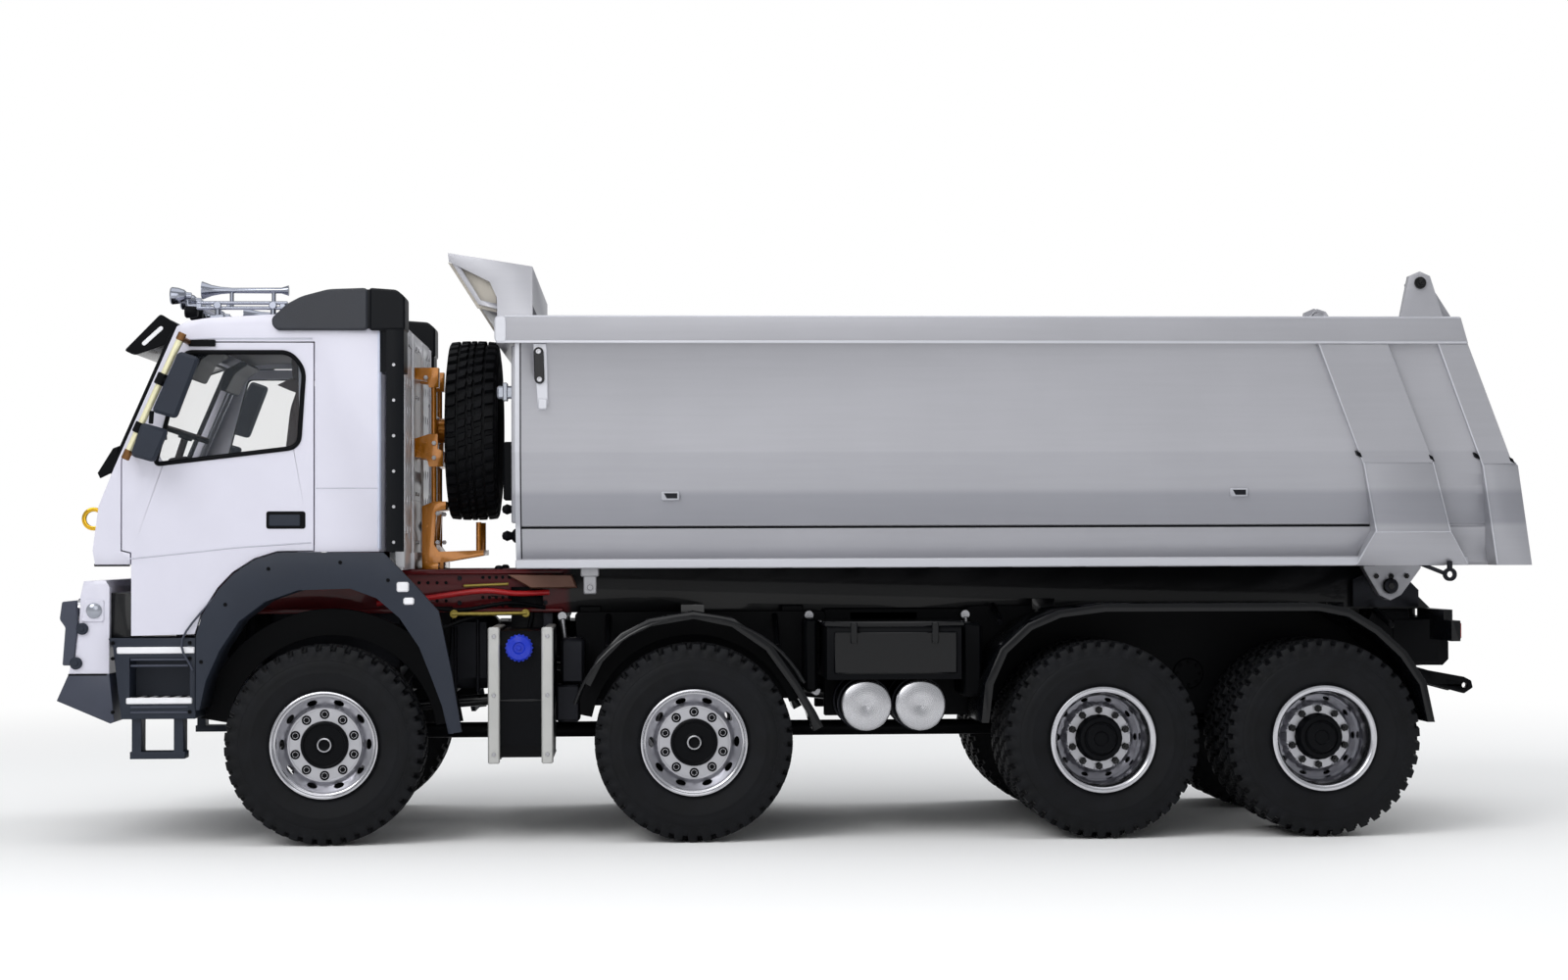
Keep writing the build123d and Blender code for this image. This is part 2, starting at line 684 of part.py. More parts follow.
bumper.part.label = "bumper"
export_step(bumper.part, "parts/bumper.step")

with BuildPart() as bumper_guard:
    with BuildSketch(Plane.XZ):
        with BuildLine():
            Polyline(
                (BUMPER_BACK_X, BUMPER_SEAM_Z), (GUARD_TIP_X - 5.0, BUMPER_SEAM_Z),
                (GUARD_TIP_X, GUARD_TIP_Z), (BUMPER_BACK_X - 0.4, BUMPER_LOW_Z),
                (BUMPER_BACK_X - 2.0, BUMPER_LOW_Z + 1.0),
                close=True,
            )
        make_face()
    extrude(amount=BUMPER_HALF, both=True)
    # centre bar in front of the bumper
    with BuildSketch(Plane.XZ):
        with BuildLine():
            Polyline(
                *BUMPER_FRONT[::-1], (GUARD_TIP_X - 4.0, 103.0), (GUARD_TIP_X - 2.0, 94.0),
                (GUARD_TIP_X - 1.0, 80.0), (GUARD_TIP_X, GUARD_TIP_Z),
                close=True,
            )
        make_face()
    extrude(amount=46.0, both=True)
bumper_guard.part.label = "bumper_guard"
export_step(bumper_guard.part, "parts/bumper_guard.step")

# Cab steps
STEP_OUT_Y = 88.0
STEP_IN_Y = 62.0
with BuildPart() as cab_steps:
    with BuildSketch(Plane.XZ.offset(-STEP_OUT_Y)):
        with BuildLine():
            Polyline(
                (256.6, 54.0), (287.5, 54.0), (291.0, 84.0), (BUMPER_BACK_X, STEP_TOP_Z),
                (256.6, STEP_TOP_Z),
                close=True,
            )
        make_face()
    extrude(amount=STEP_OUT_Y - STEP_IN_Y)
    # foot well open to the side
    with BuildSketch(Plane.XZ.offset(-STEP_OUT_Y)):
        with Locations((271.5, 71.0)):
            Rectangle(25.0, 17.0)
    extrude(amount=14.0, mode=Mode.SUBTRACT)
    # hanging loop
    for leg_x in (281.5, 264.0):
        with BuildSketch(Plane.XZ.offset(-(STEP_OUT_Y - 2.0))):
            with Locations((leg_x, 47.0)):
                Rectangle(4.0, 16.0)
        extrude(amount=10.0)
    with BuildSketch(Plane.XZ.offset(-(STEP_OUT_Y - 2.0))):
        with Locations((272.8, 38.6)):
            Rectangle(23.0, 3.0)
    extrude(amount=10.0)
    mirror(about=Plane.XZ)
cab_steps.part.label = "cab_steps"
export_step(cab_steps.part, "parts/cab_steps.step")

with BuildPart() as tow_ring:
    with BuildSketch(Plane.XZ.offset(-60.0)):
        with Locations((305.0, 138.5)):
            Circle(5.0)
            Circle(3.2, mode=Mode.SUBTRACT)
        with Locations((299.6, 138.5)):
            Rectangle(3.0, 3.0)
    extrude(amount=2.0)
    mirror(about=Plane.XZ)
tow_ring.part.label = "tow_ring"
export_step(tow_ring.part, "parts/tow_ring.step")

# Cab outside
with BuildPart() as side_fairings:
    with BuildSketch(Plane.XZ.offset(-ARCH_OUT_Y)):
        with BuildLine():
            Polyline(
                (223.4, 221.0), (212.3, 231.0), (200.9, 234.2), (182.6, 235.0), (172.3, 234.0),
                (169.4, 231.1), (169.4, CAB_FLOOR_Z), (CAB_BACK_X - 3.0, CAB_FLOOR_Z),
                (CAB_BACK_X - 3.0, 218.5), (216.6, 218.4),
                close=True,
            )
        make_face()
    extrude(amount=2.0)
    with BuildSketch(Plane.XZ.offset(-CAB_HALF)):
        with BuildLine():
            Polyline(
                (223.4, CAB_TOP_Z), (212.3, 231.0), (200.9, 234.2), (182.6, 235.0), (172.3, 234.0),
                (169.4, 231.1), (169.4, 200.0), (CAB_BACK_X, 200.0), (CAB_BACK_X, CAB_TOP_Z),
                close=True,
            )
        make_face()
    extrude(amount=16.0)
    mirror(about=Plane.XZ)
side_fairings.part.label = "side_fairings"
export_step(side_fairings.part, "parts/side_fairings.step")

with BuildPart() as sun_visor:
    with BuildSketch(Plane.XZ):
        with BuildLine():
            Polyline(
                (272.0, 224.4), (286.6, 209.7), (283.6, 208.0), (270.0, 212.6),
                (266.4, CAB_TOP_Z - 5.6), (265.0, 219.9),
                close=True,
            )
        make_face()
    extrude(amount=80.0, both=True)
sun_visor.part.label = "sun_visor"
export_step(sun_visor.part, "parts/sun_visor.step")

BAR_Z = 229.8


def roof_z(x):
    """Height of the roof's outside at x, between its two front creases."""
    return CAB_TOP_Z - 1.6 * max(0.0, (x - 223.4) / (251.8 - 223.4))


with BuildPart() as roof_bar:
    # side rails, feet, cross bar and lamp cups
    for side in (1, -1):
        with BuildSketch(Plane.XZ.offset(-side * 70.0)):
            with Locations((240.0, BAR_Z)):
                Rectangle(39.0, 3.4)
            for foot_x in (249.0, 224.0):
                with BuildLine():
                    Polyline(
                        (foot_x, roof_z(foot_x)), (foot_x + 5.0, roof_z(foot_x + 5.0)),
                        (foot_x + 5.0, BAR_Z), (foot_x, BAR_Z),
                        close=True,
                    )
                make_face()
        extrude(amount=side * 3.4)
        # horn
        with BuildSketch(Plane.YZ.offset(221.0)):
            with Locations((side * 60.0, 237.2)):
                Circle(1.4)
        extrude(amount=37.0)
        with BuildSketch(Plane.YZ.offset(256.0)):
            with Locations((side * 60.0, 237.2)):
                Circle(4.4)
        extrude(amount=2.5)
        for post_x in (246.0, 227.0):
            with BuildSketch(Plane.XZ.offset(-side * 62.0)):
                with Locations((post_x, 233.8)):
                    Rectangle(2.2, 7.0)
            extrude(amount=side * 4.0)
        with BuildSketch(Plane.XZ.offset(-side * 66.8)):
            with Locations((226.0, BAR_Z)):
                Rectangle(4.0, 3.0)
        extrude(amount=side * 8.8)
        with BuildSketch(Plane.XZ.offset(-side * 66.8)):
            with Locations((246.0, BAR_Z)):
                Rectangle(4.0, 3.0)
        extrude(amount=side * 8.8)
    with BuildSketch(Plane.XZ):
        with Locations((258.0, BAR_Z)):
            Rectangle(3.4, 3.4)
    extrude(amount=70.0, both=True)
    for lamp_y in (62.0, 38.0, -38.0, -62.0):
        with BuildSketch(Plane.YZ.offset(259.0)):
            with Locations((lamp_y, 233.5)):
                Circle(6.2)
        extrude(amount=8.0)
roof_bar.part.label = "roof_bar"
export_step(roof_bar.part, "parts/roof_bar.step")

RACK_HALF = 70.0
RACK_X = 171.5
RACK_T = 3.0
with BuildPart() as cab_rack:
    # perforated panel across the back of the cab, on two bars over the rails
    with BuildSketch(Plane.YZ.offset(RACK_X)):
        with Locations((0, 0.5 * (RAIL_TOP_Z + 222.0))):
            Rectangle(2 * RACK_HALF, 222.0 - RAIL_TOP_Z)
        for row in range(7):
            for hole_y in (60.0, 48.0, 36.0, -36.0, -48.0, -60.0):
                with Locations((hole_y, 134.0 + 13.0 * row)):
                    Circle(2.4, mode=Mode.SUBTRACT)
    extrude(amount=RACK_T)
    for bar_z, bar_h in ((121.0, 5.0), (117.5, 3.0)):
        with BuildSketch(Plane.XZ):
            with Locations((RACK_X + 4.0, bar_z)):
                Rectangle(11.0, bar_h)
        extrude(amount=RAIL_OUT_Y, both=True)
cab_rack.part.label = "cab_rack"
export_step(cab_rack.part, "parts/cab_rack.step")

# Mudguards
GUARD_T = 2.2
with BuildPart() as mudguards:
    # over the second axle
    with BuildSketch(Plane.XZ.offset(-CAB_HALF)):
        with BuildLine():
            Polyline(
                (93.5, 68.0), (88.0, 79.0), (78.0, 89.0), (66.0, 95.0), (47.1, 98.0), (30.0, 95.0),
                (14.0, 84.0), (2.2, 67.0), (-5.0, 55.0), (-8.0, 49.0),
            )
            Line((-8.0, 49.0), (-4.0, 47.0))
            Polyline(
                (-4.0, 47.0), (-1.8, 54.0), (5.0, 65.5), (16.5, 81.6), (31.0, 91.6), (47.1, 95.0),
                (65.0, 92.0), (76.0, 86.8), (85.6, 77.2), (91.0, 66.6),
            )
            Line((91.0, 66.6), (93.5, 68.0))
        make_face()
    extrude(amount=CAB_HALF - ARCH_IN_Y)
    # arm to the rail
    with BuildSketch(Plane.XZ.offset(-ARCH_IN_Y - 4.0)):
        with Locations((47.1, 98.5)):
            Rectangle(10.0, 4.0)
    extrude(amount=ARCH_IN_Y + 4.0 - RAIL_OUT_Y)
    # over the tandem
    with BuildSketch(Plane.XZ.offset(-CAB_HALF)):
        with BuildLine():
            Polyline(
                (-75.8, 50.0), (-77.5, 66.7), (-84.1, 81.6), (-95.8, 92.3), (-109.2, 98.0),
                (-129.2, 100.6), (-222.0, 100.6), (-236.0, 98.0), (-248.6, 90.2), (-260.4, 79.5),
                (-268.9, 66.4), (-272.5, 49.0),
            )
            Line((-272.5, 49.0), (-269.4, 49.0))
            Polyline(
                (-269.4, 49.0), (-266.0, 65.0), (-257.8, 77.0), (-246.8, 87.2), (-235.0, 94.6),
                (-222.0, 97.2), (-129.6, 97.2), (-110.2, 94.8), (-97.8, 89.6), (-87.1, 79.8),
                (-81.0, 66.2), (-79.0, 50.0),
            )
            Line((-79.0, 50.0), (-75.8, 50.0))
        make_face()
    extrude(amount=CAB_HALF - 37.0)
    with BuildSketch(Plane.XZ.offset(-40.0)):
        with Locations((-110.0, 99.5)):
            Rectangle(10.0, 5.0)
        with Locations((-242.0, 98.2)):
            Rectangle(8.0, 3.0)
    extrude(amount=40.0 - RAIL_OUT_Y)
    mirror(about=Plane.XZ)
mudguards.part.label = "mudguards"
export_step(mudguards.part, "parts/mudguards.step")

# Tank and air unit
with BuildPart() as fuel_tank:
    with BuildSketch(Plane.YZ.offset(107.0)):
        with BuildLine():
            Polyline(
                (84.0, 42.0), (84.0, 84.0), (79.0, 90.0), (RAIL_OUT_Y + 1.0, 90.0),
                (RAIL_OUT_Y + 1.0, 58.0), (46.0, 36.0), (78.0, 36.0),
                close=True,
            )
        make_face()
    extrude(amount=26.0)
    for strap_x in (109.2, 130.8):
        with BuildSketch(Plane.YZ.offset(strap_x - 1.6)):
            with BuildLine():
                Polyline(
                    (84.8, 41.6), (84.8, 84.4), (79.4, 90.8), (RAIL_OUT_Y, 90.8),
                    (RAIL_OUT_Y, 57.8), (45.6, 35.2), (78.4, 35.2),
                    close=True,
                )
            make_face()
        extrude(amount=3.2)
    with BuildSketch(Plane.XZ.offset(-80.0)):
        with Locations((121.1, 82.8)):
            Circle(5.6)
    extrude(amount=-6.5)
    # hanger to the rail
    with BuildSketch(Plane.XZ.offset(-RAIL_OUT_Y - 2.5)):
        with Locations((120.0, 99.0)):
            Rectangle(14.0, 18.0)
    extrude(amount=2.5)
fuel_tank.part.label = "fuel_tank"
export_step(fuel_tank.part, "parts/fuel_tank.step")

with BuildPart() as air_unit:
    for tank_x in (-27.0, -50.5):
        with BuildSketch(Plane.XZ.offset(-80.0)):
            with Locations((tank_x, 57.4)):
                Circle(11.0)
        extrude(amount=160.0)
    with BuildSketch(Plane.XZ.offset(-83.0)):
        with Locations((-39.0, 80.5)):
            Rectangle(58.0, 24.0)
    extrude(amount=50.0)
    with BuildSketch(Plane.XZ.offset(33.0)):
        with Locations((-39.0, 80.5)):
            Rectangle(58.0, 24.0)
    extrude(amount=50.0)
    for side in (1, -1):
        with BuildSketch(Plane.XZ.offset(-side * 33.0)):
            with Locations((-39.0, 90.0)):
                Rectangle(30.0, 12.0)
        extrude(amount=side * 2.0)
air_unit.part.label = "air_unit"
export_step(air_unit.part, "parts/air_unit.step")

# Spare wheel
SPARE_X = 145.0
SPARE_Z = 179.0
SPARE_R = 41.0
with BuildPart() as spare_tyre:
    with BuildSketch(Plane.XZ):
        with BuildLine():
            Polyline(
                *[
                    (SPARE_X + 0.92 * w, SPARE_Z + r - (TYRE_R - SPARE_R if r > 30 else 0))
                    for w, r in TYRE_SECTION
                ],
                close=True,
            )
        make_face()
    revolve(axis=Axis((0, 0, SPARE_Z), (1, 0, 0)))
spare_tyre.part.label = "spare_tyre"
export_step(spare_tyre.part, "parts/spare_tyre.step")

spare_half_w = 0.92 * RIM_HALF_W
with BuildPart() as spare_rim:
    with BuildSketch(Plane.XZ):
        with BuildLine():
            Polyline(
                (SPARE_X - spare_half_w, SPARE_Z + BEAD_R),
                (SPARE_X + spare_half_w, SPARE_Z + BEAD_R),
                (SPARE_X + spare_half_w, SPARE_Z + BEAD_R - RIM_WALL),
                (SPARE_X + 3.0, SPARE_Z + BEAD_R - RIM_WALL - 1.0),
                (SPARE_X, SPARE_Z + DISC_R),
                (SPARE_X, SPARE_Z + 6.0),
                (SPARE_X - 2.5, SPARE_Z + 6.0),
                (SPARE_X - 2.5, SPARE_Z + DISC_R),
                (SPARE_X, SPARE_Z + BEAD_R - RIM_WALL - 1.0),
                (SPARE_X - spare_half_w, SPARE_Z + BEAD_R - RIM_WALL),
                close=True,
            )
        make_face()
    revolve(axis=Axis((0, 0, SPARE_Z), (1, 0, 0)))
spare_rim.part.label = "spare_rim"
export_step(spare_rim.part, "parts/spare_rim.step")

CARRIER_X = 162.5
CARRIER_Y = 17.0
CARRIER_ROD_R = 1.2
with BuildPart() as spare_carrier:
    # two posts with blocks along them, a foot out under the tyre and a stay up its front
    for post_y in (CARRIER_Y, -CARRIER_Y):
        with BuildSketch(Plane.XY.offset(RAIL_TOP_Z)):
            with Locations((CARRIER_X, post_y)):
                Circle(CARRIER_ROD_R)
        extrude(amount=206.0 - RAIL_TOP_Z)
    with BuildSketch(Plane.XZ):
        with BuildLine():
            Polyline(
                (RACK_X - 0.3, 206.5), (160.2, 206.5), (160.2, 197.6), (164.4, 197.6), (165.2, 200.5),
                (RACK_X - 0.3, 201.5),
                close=True,
            )
        make_face()
        with BuildLine():
            Polyline(
                (RACK_X - 0.3, 174.5), (164.4, 176.7), (160.6, 176.7), (160.6, 170.0), (158.2, 169.0),
                (158.2, 162.0), (164.4, 162.0), (165.4, 165.5),
                (RACK_X - 0.3, 166.5),
                close=True,
            )
        make_face()
        with BuildLine():
            Polyline(
                (167.6, RAIL_TOP_Z), (167.6, 144.2), (162.2, 146.4), (157.0, 146.4), (157.0, 143.0),
                (161.2, 142.0), (162.2, 127.0), (160.0, 123.8), (140.0, 124.4), (140.0, 122.0),
                (158.0, 119.0), (158.0, RAIL_TOP_Z),
                close=True,
            )
        make_face()
    extrude(amount=CARRIER_Y + 3.0, both=True)
    # the blocks stay whole only at the posts
    with BuildSketch(Plane.XZ):
        with Locations((156.0, 134.0), (166.0, 171.0), (166.0, 202.0)):
            Rectangle(34.0, 14.0)
        with Locations((150.0, 122.0)):
            Rectangle(14.0, 11.0)
    extrude(amount=CARRIER_Y - 4.0, both=True, mode=Mode.SUBTRACT)
    with BuildSketch(Plane.XY.offset(RAIL_TOP_Z)):
        with Locations((CARRIER_X, 0)):
            Rectangle(6.0, 2 * RAIL_OUT_Y)
    extrude(amount=3.0)
    for stay_y in (CARRIER_Y, -CARRIER_Y):
        with BuildSketch(Plane.XY.offset(122.0)):
            with Locations((142.4, stay_y)):
                Circle(CARRIER_ROD_R)
        extrude(amount=15.0)
    # plate and spindle that hold the spare wheel's disc
    with BuildSketch(Plane.YZ.offset(CARRIER_X - 1.0)):
        with Locations((0, SPARE_Z)):
            Rectangle(2 * CARRIER_Y, 12.0)
    extrude(amount=2.0)
    with BuildSketch(Plane.YZ.offset(SPARE_X - 7.0)):
        with Locations((0, SPARE_Z)):
            Circle(5.6)
    extrude(amount=CARRIER_X - SPARE_X + 7.0)
    with BuildSketch(Plane.YZ.offset(SPARE_X - 7.0)):
        with Locations((0, SPARE_Z)):
            Circle(9.0)
    extrude(amount=4.5)
spare_carrier.part.label = "spare_carrier"
export_step(spare_carrier.part, "parts/spare_carrier.step")

# Tipping base
LUG_IN_Y = 35.0
LUG_T = 6.0
with BuildPart() as tipping_base:
    # rear hinge plates on the rails with their pins
    for side in (1, -1):
        with BuildSketch(Plane.XZ.offset(-side * RAIL_OUT_Y)):
            with BuildLine():
                Polyline(
                    (HINGE_X - 15.0, rail_low_z + 1.0), (HINGE_X - 15.0, 105.0), (HINGE_X - 6.0, 114.0),
                    (HINGE_X + 6.0, 114.0), (HINGE_X + 15.0, 110.0), (HINGE_X + 15.0, rail_low_z + 1.0),
                    close=True,
                )
            make_face()
        extrude(amount=-side * 3.0)
        with BuildSketch(Plane.XZ.offset(-side * (RAIL_OUT_Y + 3.0))):
            with Locations((HINGE_X, HINGE_Z)):
                Circle(HINGE_PIN_R)
        extrude(amount=-side * 9.0)
    # cylinder trunnions between the rails
    for side in (1, -1):
        with BuildSketch(Plane.XZ.offset(-side * RAIL_OUT_Y)):
            with Locations((CYL_X, 0.5 * (CYL_LOW_Z - 7.0 + rail_low_z))):
                Rectangle(14.0, rail_low_z - CYL_LOW_Z + 7.0)
        extrude(amount=side * RAIL_W)
        with BuildSketch(Plane.XZ.offset(-side * (RAIL_OUT_Y - RAIL_W))):
            with Locations((CYL_X, CYL_LOW_Z)):
                Circle(CYL_TRUNNION_R)
        extrude(amount=side * (RAIL_OUT_Y - RAIL_W - 4.0))
tipping_base.part.label = "tipping_base"
export_step(tipping_base.part, "parts/tipping_base.step")

with BuildPart() as tow_coupling:
    with BuildSketch(Plane.XZ):
        with BuildLine():
            Polyline(
                (-257.0, 72.0), (-257.0, 86.0), (-262.0, rail_low_z), (-278.0, rail_low_z),
                (-278.6, 92.1), (-282.6, 90.3), (-287.6, 86.3), (-292.9, 84.1), (-296.5, 81.5),
                (-296.5, 73.5), (-293.8, 70.8), (-284.9, 70.9), (-268.0, 70.0),
                close=True,
            )
        make_face()
    extrude(amount=RAIL_OUT_Y, both=True)
    for arm_y in (12.0, -12.0):
        with BuildSketch(Plane.XZ.offset(-arm_y - 2.0)):
            with BuildLine():
                Polyline(
                    (-268.0, 74.6), (-292.3, 67.7), (-309.0, 64.6), (-312.4, 62.8), (-313.1, 59.6),
                    (-309.0, 56.9), (-292.3, 61.4), (-268.0, 66.6),
                    close=True,
                )
            make_face()
            with Locations((-309.3, 60.7)):
                Circle(1.3, mode=Mode.SUBTRACT)
        extrude(amount=4.0)
tow_coupling.part.label = "tow_coupling"
export_step(tow_coupling.part, "parts/tow_coupling.step")

with BuildPart() as tail_lamps:
    for side in (1, -1):
        with BuildSketch(Plane.XZ.offset(-side * 50.0)):
            with Locations((-284.0, 88.0)):
                Rectangle(4.0, 9.0)
        extrude(amount=-side * 32.0)
        with BuildSketch(Plane.XZ.offset(-side * RAIL_OUT_Y)):
            with Locations((-284.0, 94.5)):
                Rectangle(4.0, 5.0)
        extrude(amount=-side * 40.0)
tail_lamps.part.label = "tail_lamps"
export_step(tail_lamps.part, "parts/tail_lamps.step")

# Bed
BED_SIDE = [
    (BED_FRONT_X, SILL_Z), (BED_FRONT_X, BED_TOP_Z), (-284.4, BED_TOP_Z), (-287.5, RAIL_LOW_Z),
    (-306.0, 162.7), (-309.2, 159.6), (BED_REAR_X, SILL_Z),
]
# Outside of the left wall from the rail down: (y, z)
BED_SECTION = [
    (BED_HALF, BED_TOP_Z), (BED_HALF, 166.0), (BED_HALF - 2.4, 149.3), (BED_HALF - 6.4, 134.8),
    (BED_HALF - 7.4, 134.0), (BED_HALF - 6.6, 133.2), (BED_HALF - 11.5, 120.6),
    (BED_HALF - 11.5, SILL_Z),
]
CARGO_SECTION = [
    (BED_HALF - BED_WALL, BED_TOP_Z + 5.0), (BED_HALF - BED_WALL, 166.5),
    (BED_HALF - BED_WALL - 2.5, 149.8), (BED_HALF - BED_WALL - 14.0, BED_FLOOR_Z),
]
RECESS_HALF = 15.0
RECESS_X = 74.0
RAIL_TIP_X = 130.6
POST_OUT_Y = BED_HALF + 2.2
POST_CREASE_Z = 131.0
POST_TUCK = 7.4
with BuildPart() as bed_shell:
    with BuildSketch(Plane.YZ.offset(BED_REAR_X)):
        with BuildLine():
            Polyline(*BED_SECTION, *[(-y, z) for y, z in BED_SECTION[::-1]], close=True)
        make_face()
    extrude(amount=BED_LENGTH)
    with BuildSketch(Plane.XZ):
        with BuildLine():
            Polyline(*BED_SIDE, close=True)
        make_face()
    extrude(amount=BED_HALF + 1.0, both=True, mode=Mode.INTERSECT)
    for side in (1, -1):
        # slanted post ahead of the rear frame, flared where it meets the sill
        with BuildSketch(Plane.XZ.offset(-side * POST_OUT_Y)):
            with BuildLine():
                Polyline(
                    (-222.3, RAIL_LOW_Z), (-241.7, 160.5), (-247.0, 131.6), (-240.0, SILL_Z),
                    (-289.3, SILL_Z), (-279.4, 130.7), (-271.8, 160.6), (-252.0, RAIL_LOW_Z),
                    close=True,
                )
            make_face()
            with BuildLine():
                Polyline(
                    (-274.5, RAIL_LOW_Z), (-293.8, 159.6), (-299.6, SILL_Z), (BED_REAR_X, SILL_Z),
                    (-309.2, 159.6), (-306.0, 162.7), (-287.5, RAIL_LOW_Z),
                    close=True,
                )
            make_face()
        extrude(amount=side * 12.0)
        # the front post's foot folds in to the sill
        with BuildSketch(Plane.YZ.offset(-293.0)):
            with BuildLine():
                Polyline(
                    (side * (POST_OUT_Y + 0.5), POST_CREASE_Z),
                    (side * (POST_OUT_Y + 0.5), SILL_Z - 0.5),
                    (side * (POST_OUT_Y - POST_TUCK), SILL_Z - 0.5),
                    close=True,
                )
            make_face()
        extrude(amount=58.0, mode=Mode.SUBTRACT)
        # rail along the top
        with BuildSketch(Plane.XZ.offset(-side * BED_RAIL_Y)):
            with BuildLine():
                Polyline(
                    (RAIL_TIP_X, BED_TOP_Z), (-284.4, BED_TOP_Z), (-287.5, RAIL_LOW_Z),
                    (RAIL_TIP_X, RAIL_LOW_Z),
                    close=True,
                )
            make_face()
        extrude(amount=side * (BED_RAIL_Y - BED_HALF + 1.0))
        # sill lip
        with BuildSketch(Plane.XY.offset(SILL_Z)):
            with Locations((0.5 * (BED_FRONT_X - 289.3), side * (BED_HALF - 10.0))):
                Rectangle(BED_FRONT_X + 289.3, 9.0)
        extrude(amount=4.0)
    # head rail and canopy
    with BuildSketch(Plane.XY.offset(RAIL_LOW_Z)):
        with Locations((0.5 * (RAIL_TIP_X + CANOPY_BACK_X), 0)):
            Rectangle(RAIL_TIP_X - CANOPY_BACK_X, 2 * BED_RAIL_Y)
    extrude(amount=BED_TOP_Z - RAIL_LOW_Z)
    with BuildSketch(Plane.XZ):
        with BuildLine():
            Polyline(*CANOPY_SIDE, close=True)
        make_face()
    extrude(amount=BED_HALF, both=True)
    with BuildSketch(Plane.XZ):
        with BuildLine():
            Polyline(
                (CANOPY_BACK_X + CANOPY_T, BED_TOP_Z), (CANOPY_BACK_X + CANOPY_T, 245.3 - CANOPY_T),
                (160.0, 252.4 - CANOPY_T), (160.0, BED_TOP_Z),
                close=True,
            )
        make_face()
    extrude(amount=BED_HALF - CANOPY_T, both=True, mode=Mode.SUBTRACT)
    # apron that slopes from the canopy's tip down to the head rail
    with BuildSketch(Plane.XZ):
        with BuildLine():
            Polyline(
                (149.6, 249.2), (149.6, 246.8), (138.2, 229.0), (130.2, 227.0),
                (130.2, BED_TOP_Z - 1.0), (128.4, BED_TOP_Z - 1.0), (128.4, 228.7), (137.2, 230.7),
                (147.4, 247.4), (147.4, 249.0),
                close=True,
            )
        make_face()
    extrude(amount=BED_HALF - 1.0, both=True)
    # cargo space, open above and at the rear
    with BuildSketch(Plane.YZ.offset(BED_FRONT_X - BED_WALL)):
        with BuildLine():
            Polyline(*CARGO_SECTION, *[(-y, z) for y, z in CARGO_SECTION[::-1]], close=True)
        make_face()
    extrude(amount=-BED_LENGTH, mode=Mode.SUBTRACT)
    # underside between the sills, with two long beams that rest on the frame
    with BuildSketch(Plane.XY.offset(SILL_Z - 1.0)):
        with Locations((0.5 * (BED_FRONT_X + BED_REAR_X), 0)):
            Rectangle(BED_LENGTH + 2.0, 2 * (BED_HALF - 15.0))
    extrude(amount=BED_FLOOR_Z - BED_WALL - SILL_Z + 1.0, mode=Mode.SUBTRACT)
    for side in (1, -1):
        with BuildSketch(Plane.XY.offset(RAIL_TOP_Z)):
            with Locations((0.5 * (BED_FRONT_X - 300.0), side * (RAIL_OUT_Y - 0.5 * RAIL_W))):
                Rectangle(BED_FRONT_X + 290.0, RAIL_W)
        extrude(amount=BED_FLOOR_Z - BED_WALL - RAIL_TOP_Z)
        # hinge lugs under the floor
        with BuildSketch(Plane.XZ.offset(-side * LUG_IN_Y)):
            with BuildLine():
                Polyline(
                    (HINGE_X + 12.0, BED_FLOOR_Z - 1.0), (HINGE_X + 12.0, 115.0),
                    (HINGE_X + 5.0, HINGE_Z - 4.0), (HINGE_X, HINGE_Z - 6.5),
                    (HINGE_X - 5.0, HINGE_Z - 4.0), (HINGE_X - 14.0, 115.0),
                    (HINGE_X - 14.0, BED_FLOOR_Z - 1.0),
                    close=True,
                )
            make_face()
            with Locations((HINGE_X, HINGE_Z)):
                Circle(HINGE_PIN_R + PIN_PLAY, mode=Mode.SUBTRACT)
        extrude(amount=-side * LUG_T)
        # tailgate lug on the rail with its pin
        with BuildSketch(Plane.XZ.offset(-side * BED_RAIL_Y)):
            with BuildLine():
                Polyline(
                    (-258.0, BED_TOP_Z - 1.0), (-262.0, GATE_PIVOT_Z + 3.0),
                    (-266.6, GATE_PIVOT_Z + 5.0), (-271.0, GATE_PIVOT_Z + 3.0),
                    (-277.0, BED_TOP_Z - 1.0),
                    close=True,
                )
            make_face()
        extrude(amount=side * 4.0)
        with BuildSketch(Plane.XZ.offset(-side * (BED_RAIL_Y - 4.0))):
            with Locations((GATE_PIVOT_X, GATE_PIVOT_Z)):
                Circle(GATE_PIN_R)
        extrude(amount=side * 8.0)
    # cylinder recess in the front wall, open below and to the front
    with BuildSketch(Plane.XY.offset(SILL_Z)):
        with Locations((0.5 * (RECESS_X + BED_FRONT_X), 0)):
            Rectangle(BED_FRONT_X - RECESS_X, 2 * (RECESS_HALF + BED_WALL))
    extrude(amount=CYL_TOP_Z + 8.0 - SILL_Z)
    with BuildSketch(Plane.XY.offset(SILL_Z - 1.0)):
        with Locations((0.5 * (RECESS_X + BED_WALL + BED_FRONT_X + 5.0), 0)):
            Rectangle(BED_FRONT_X + 5.0 - RECESS_X - BED_WALL, 2 * RECESS_HALF)
    extrude(amount=CYL_TOP_Z + 8.0 - BED_WALL - SILL_Z + 1.0, mode=Mode.SUBTRACT)
    # cylinder pin, one half from each side of the recess, with the rod's eye between them
    for side in (1, -1):
        with BuildSketch(Plane.XZ.offset(-side * (0.5 * CYL_EYE_W + FIT))):
            with Locations((CYL_X, CYL_TOP_Z)):
                Circle(CYL_PIN_R)
        extrude(amount=-side * (RECESS_HALF + 1.0 - 0.5 * CYL_EYE_W - FIT))
bed_shell.part.label = "bed_shell"
export_step(bed_shell.part, "parts/bed_shell.step")

